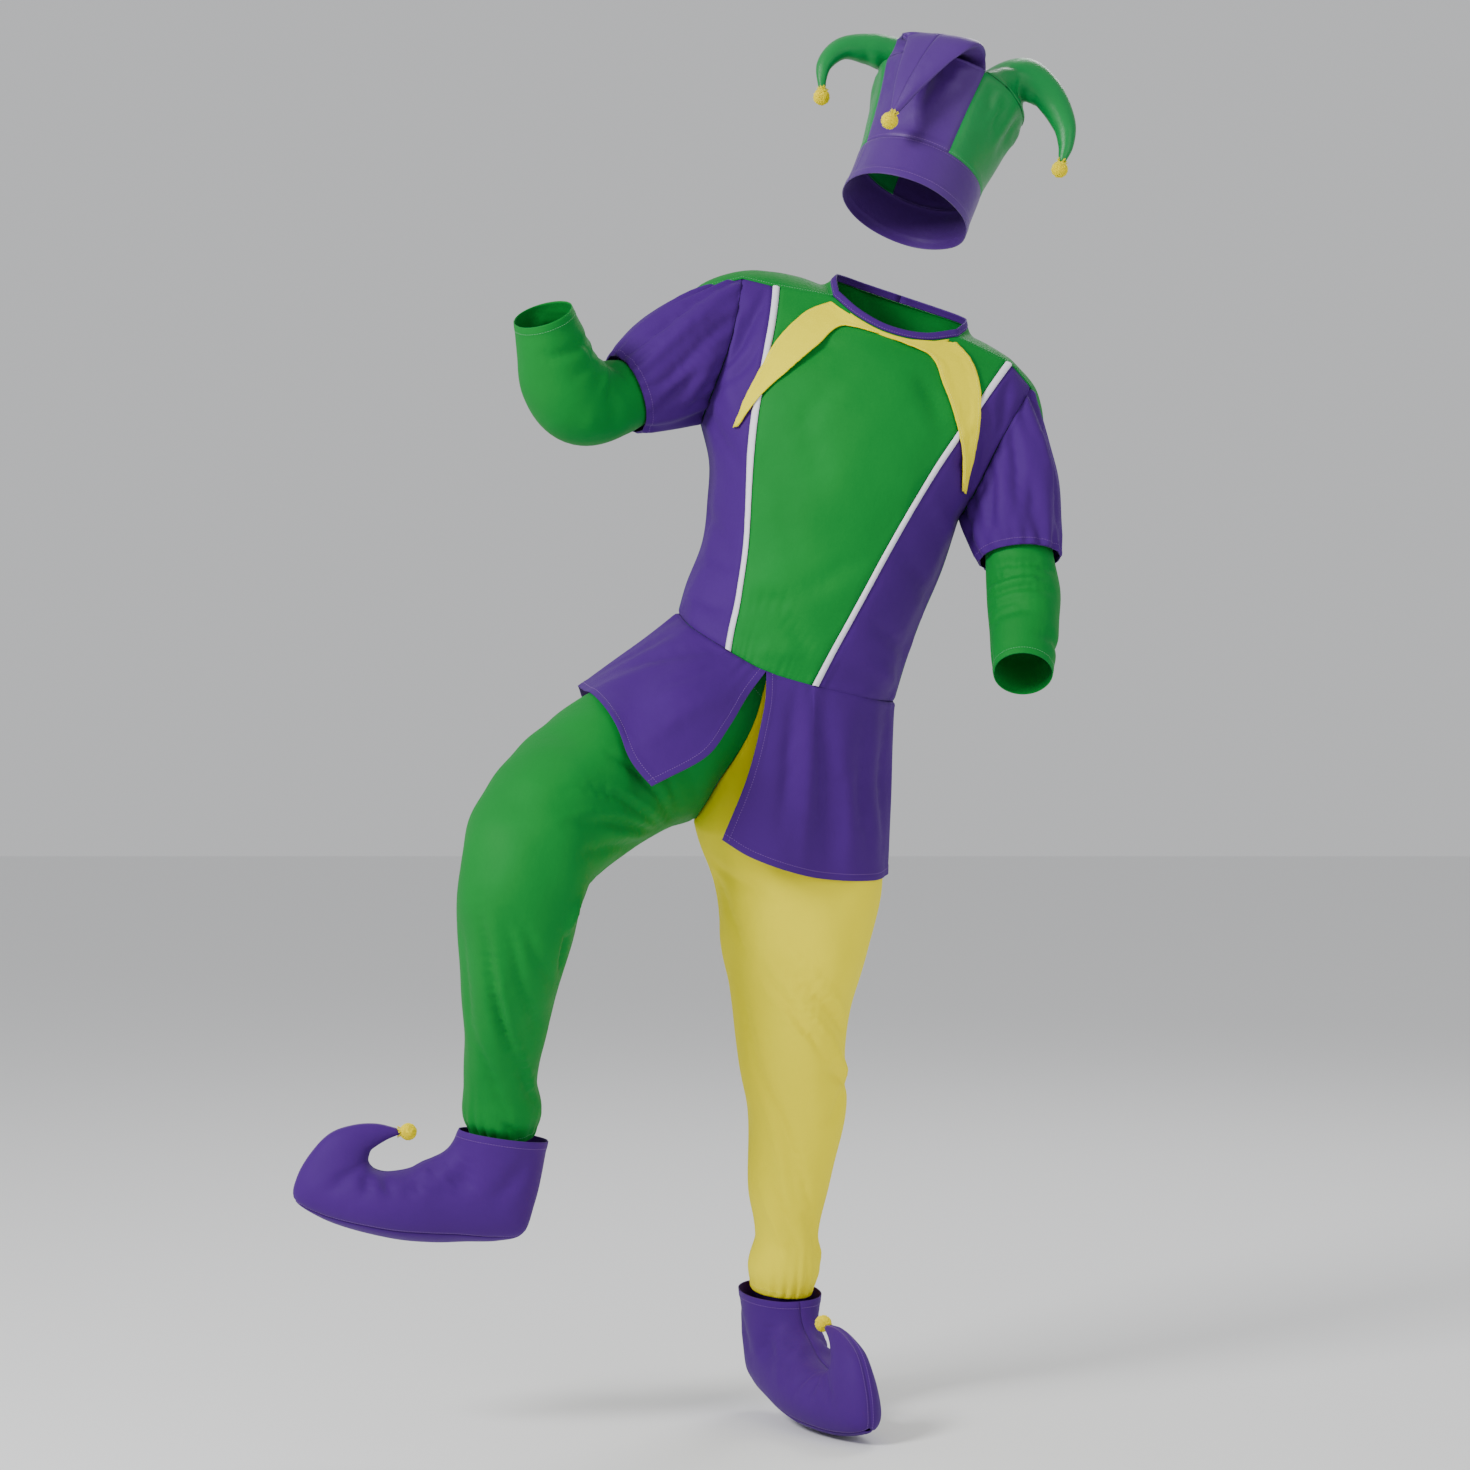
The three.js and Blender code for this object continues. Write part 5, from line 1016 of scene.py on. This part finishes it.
def horn(rows, turn, places, shares):
    angle = math.radians(turn + 45)
    outwards = np.array([math.sin(angle), -math.cos(angle), 0])
    across = np.array([math.cos(angle), math.sin(angle), 0])
    rim = hat_point(turn + np.linspace(0, 90, 41), CROWN_HEIGHT)
    middle = np.array([0, 0, CROWN_HEIGHT]) + outwards * 3.9
    rim[0] += across * 2.6
    rim[-1] -= across * 2.6
    loop = np.concatenate([np.linspace(middle, rim[0], 13)[:-1], rim,
                           np.linspace(rim[-1], middle, 13)[1:]])
    loop = along_loop(loop + np.array([0, 0, 1.6]), shares)
    place = columns_of(rows)
    turn_by = 2 * np.pi * shares
    lines = []
    for at in places:
        aim = point_at(place, min(at + 0.02, 1)) - point_at(place, max(at - 0.02, 0))
        if at < 0.125:
            aim = unit(aim) * at * 8 + np.array([0, 0, 1]) * (1 - at * 8)
        aim = unit(aim)
        facing = -unit(across - aim * (across @ aim))
        ring = dict(middle=point_at(place, at), facing=facing, inner=-np.cross(aim, facing),
                    wide=float(place["wide"](at)), deep=float(place["deep"](at)))
        if not lines:
            first = on_ring(ring, turn_by)
        keep = max(1 - at / 0.4, 0) ** 2
        lines.append(on_ring(ring, turn_by) + (loop - first) * keep)
    return np.array(lines), point_at(place, 1), aim


round_hat = spaced(0, 360, 120, 570, (0, 0))
band = np.array([hat_point(PANEL_TURN + round_hat, height)
                 for height in spaced(0, BAND_HEIGHT, 8, BAND_HEIGHT)])
cloth("hat_band", band, "hat_purple", HAT_PLACE, edged(hem="bottom", seam="top"),
      stitched=[("bottom", 9.5), ("top", 3)], swell=0.8, seed=20)
CROWN_FOLDS = folds(
    (98, 30, 50, 36, 9, -2.6), (98, 60, 45, 56, 9, -2.6), (98, 82, 60, 74, 8, 2),
    (95, 12, 60, 20, 8, -2))
HORN_FOLDS = folds(
    (4, 35, 30, 45, 9, -1.8), (4, 60, 34, 55, 9, -1.8), (5, 48, 40, 50, 8, 1.4),
    (30, 35, 42, 65, 7, -1), (45, 35, 52, 65, 7, -1), (10, 15, 30, 30, 8, -1.5),
    (10, 85, 30, 70, 8, -1.5))
pompoms = []
for quarter, side in enumerate(["front", "left", "back", "right"]):
    turn = PANEL_TURN + 90 * quarter
    colour = "hat_purple" if quarter % 2 == 0 else "hat_green"
    panel = np.array([hat_point(turn + spaced(0, 90, 32, 155), height)
                      for height in spaced(BAND_HEIGHT, CROWN_HEIGHT, 26, 125)])
    cloth("crown_" + side, panel, colour, HAT_PLACE,
          edged(seam="bottom left right", flat_seam="top"), (0, 0, 120), CROWN_FOLDS,
          stitched=[("bottom", 3)],
          swell=1.4, seed=21 + quarter)
    grid, tip, aim = horn(HORNS[side], turn, spaced(0, 1, 60, 220, (1, 0)),
                          spaced(0, 1, 72, 400, (0, 0)))
    cloth("horn_" + side, grid, colour, HAT_PLACE, edged(flat_seam="bottom"), None, HORN_FOLDS,
          swell=1.2, wall=1.1, seed=25 + quarter)
    pompoms.append(("pompom_hat_" + side, HAT_PLACE, tip + aim * 10.6, -aim))

# ---------------------------------------------------------------- Pompoms
# Yellow yarn, wound, tied and clipped round, one sewn on each horn and each curled toe.
for side, place in BOOTS:
    pompoms.append(("pompom_boot_" + side, place, np.array([125.8, 0, 5.5]), np.array([1.0, 0, 0])))


def crossways(way, other):
    """Two ways at right angles to a strand or stitch."""
    aside = unit(np.cross(way, other))
    return aside, np.cross(way, aside)


def small_ring(spot, aside, other, corners, size):
    return [spot + (aside * math.cos(turn) + other * math.sin(turn)) * size
            for turn in 2 * np.pi * np.arange(corners) / corners]


yarn = fabric("yellow yarn", (1.0, 0.86, 0.0), (0.92, 0.76, 0.0), 0.9, 0.1)
STRANDS = 1500
POMPOM_RADIUS = 11.6
HEART_RADIUS = 9.6
SEAT_REACH = 1.42
strand_rng = np.random.default_rng(40)
for node, place, centre, seat in pompoms:
    vertices, faces = [], []
    for row in range(13):  # the tied heart of the ball
        for col in range(24):
            lift, turn = math.pi * row / 12, 2 * math.pi * col / 24
            way = (math.sin(lift) * math.cos(turn), math.sin(lift) * math.sin(turn), math.cos(lift))
            vertices.append(centre + HEART_RADIUS * np.array(way))
            if row:
                here, after = row * 24 + col, row * 24 + (col + 1) % 24
                faces.append((here - 24, here, after, after - 24))
    order = np.arange(STRANDS) + 0.5
    tilt = np.arccos(1 - 2 * order / STRANDS)
    spin = np.pi * (1 + 5 ** 0.5) * order
    ways = np.stack([np.cos(spin) * np.sin(tilt), np.sin(spin) * np.sin(tilt), np.cos(tilt)], axis=1)
    for way in ways:
        lean_by = strand_rng.normal(0, 0.14, 3)
        tip_way = unit(way + lean_by)
        reach = POMPOM_RADIUS * strand_rng.uniform(0.86, 1.03)
        if way @ seat > 0.93:
            reach *= SEAT_REACH
        aside, other = crossways(way, (0.3, 0.5, 0.8))
        first = len(vertices)
        for along, length, size in [(way, 4.5, 0.9), (tip_way, reach - 0.6, 1.25)]:
            vertices += small_ring(centre + along * length, aside, other, 3, size / 2)
        vertices.append(centre + tip_way * reach)
        for corner in range(3):
            here, after = first + corner, first + (corner + 1) % 3
            faces += [(here, after, after + 3, here + 3), (here + 3, after + 3, first + 6)]
        faces.append((first + 2, first + 1, first))
    ball = mesh_object("yarn_" + node, to_metres(np.array(vertices), place), faces, yarn)
    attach(ball, "root")
    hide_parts(node)

# ---------------------------------------------------------------- Topstitching
# Rows of short raised stitches in matching thread, just above the cloth along hems and seams.
THREADS = {"purple": (0.2, 0.09, 0.34), "green": (0.12, 0.4, 0.2), "yellow": (0.9, 0.8, 0.16),
           "hat_purple": (0.2, 0.09, 0.34), "hat_green": (0.05, 0.4, 0.14)}
THREAD_RADIUS = 0.00042
for colour, paths in stitch_paths.items():
    if colour not in THREADS:
        continue
    vertices, faces = [], []
    for path in paths:
        known = run_along(path)
        starts = np.arange(0, known[-1] - STITCH_LENGTH / 1000, STITCH_STEP / 1000)
        for start in starts:
            ends = [between(path, known, start + more) for more in (0, STITCH_LENGTH / 1000)]
            way = ends[1] - ends[0]
            if norm(way) < 1e-6:
                continue
            aside, other = crossways(unit(way), (0.35, 0.44, 0.83))
            first = len(vertices)
            vertices.append(ends[0])
            for share in (0.25, 0.75):
                spot = ends[0] * (1 - share) + ends[1] * share
                vertices += small_ring(spot, aside, other, 4, THREAD_RADIUS)
            vertices.append(ends[1])
            for corner in range(4):
                here, after = first + 1 + corner, first + 1 + (corner + 1) % 4
                faces += [(first, after, here), (here, after, after + 4, here + 4),
                          (here + 4, after + 4, first + 9)]
    thread, _ = shader(colour + " thread", {"Base Color": (*THREADS[colour], 1), "Roughness": 0.6})
    stitches = mesh_object("stitches_" + colour, np.array(vertices), faces, thread)
    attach(stitches, "root")

# ---------------------------------------------------------------- Stage
# A plain pale floor under the lower boot, soft light from the front and above, and the
# camera straight in front.
low = min(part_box("boot_sole_left")[0][2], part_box("boot_outer_left")[0][2])
bpy.ops.mesh.primitive_plane_add(size=30, location=(0, 6, low - 0.004))
floor = bpy.context.object
floor.name = "floor"
pale, _ = shader("pale floor", {"Base Color": (0.86, 0.86, 0.86, 1), "Roughness": 0.9})
floor.data.materials.append(pale)
world = bpy.data.worlds.new("soft room")
bpy.context.scene.world = world
world.use_nodes = True
put(world.node_tree.nodes["Background"], {"Color": (0.97, 0.98, 1, 1), "Strength": 0.62})
for name, at, energy, size in [("key", (-3.0, -2.6, 1.6), 190, 1.2),
                               ("fill", (2.8, -3.4, 0.2), 40, 2.4),
                               ("rim", (1.2, 2.6, 2.2), 60, 1.6)]:
    light = bpy.data.lights.new(name, "AREA")
    light.energy = energy
    light.size = size
    lamp = bpy.data.objects.new(name, light)
    lamp.location = at
    lamp.rotation_euler = (Vector((-0.2, 0, -0.6)) - Vector(at)).to_track_quat("-Z", "Y").to_euler()
    bpy.context.scene.collection.objects.link(lamp)
lens = bpy.data.cameras.new("camera")
lens.lens = 81
lens.sensor_width = 36
camera = bpy.data.objects.new("camera", lens)
camera.location = (-0.223, -4.5, -0.585)
camera.rotation_euler = (math.pi / 2, 0, 0)
bpy.context.scene.collection.objects.link(camera)
bpy.context.scene.camera = camera
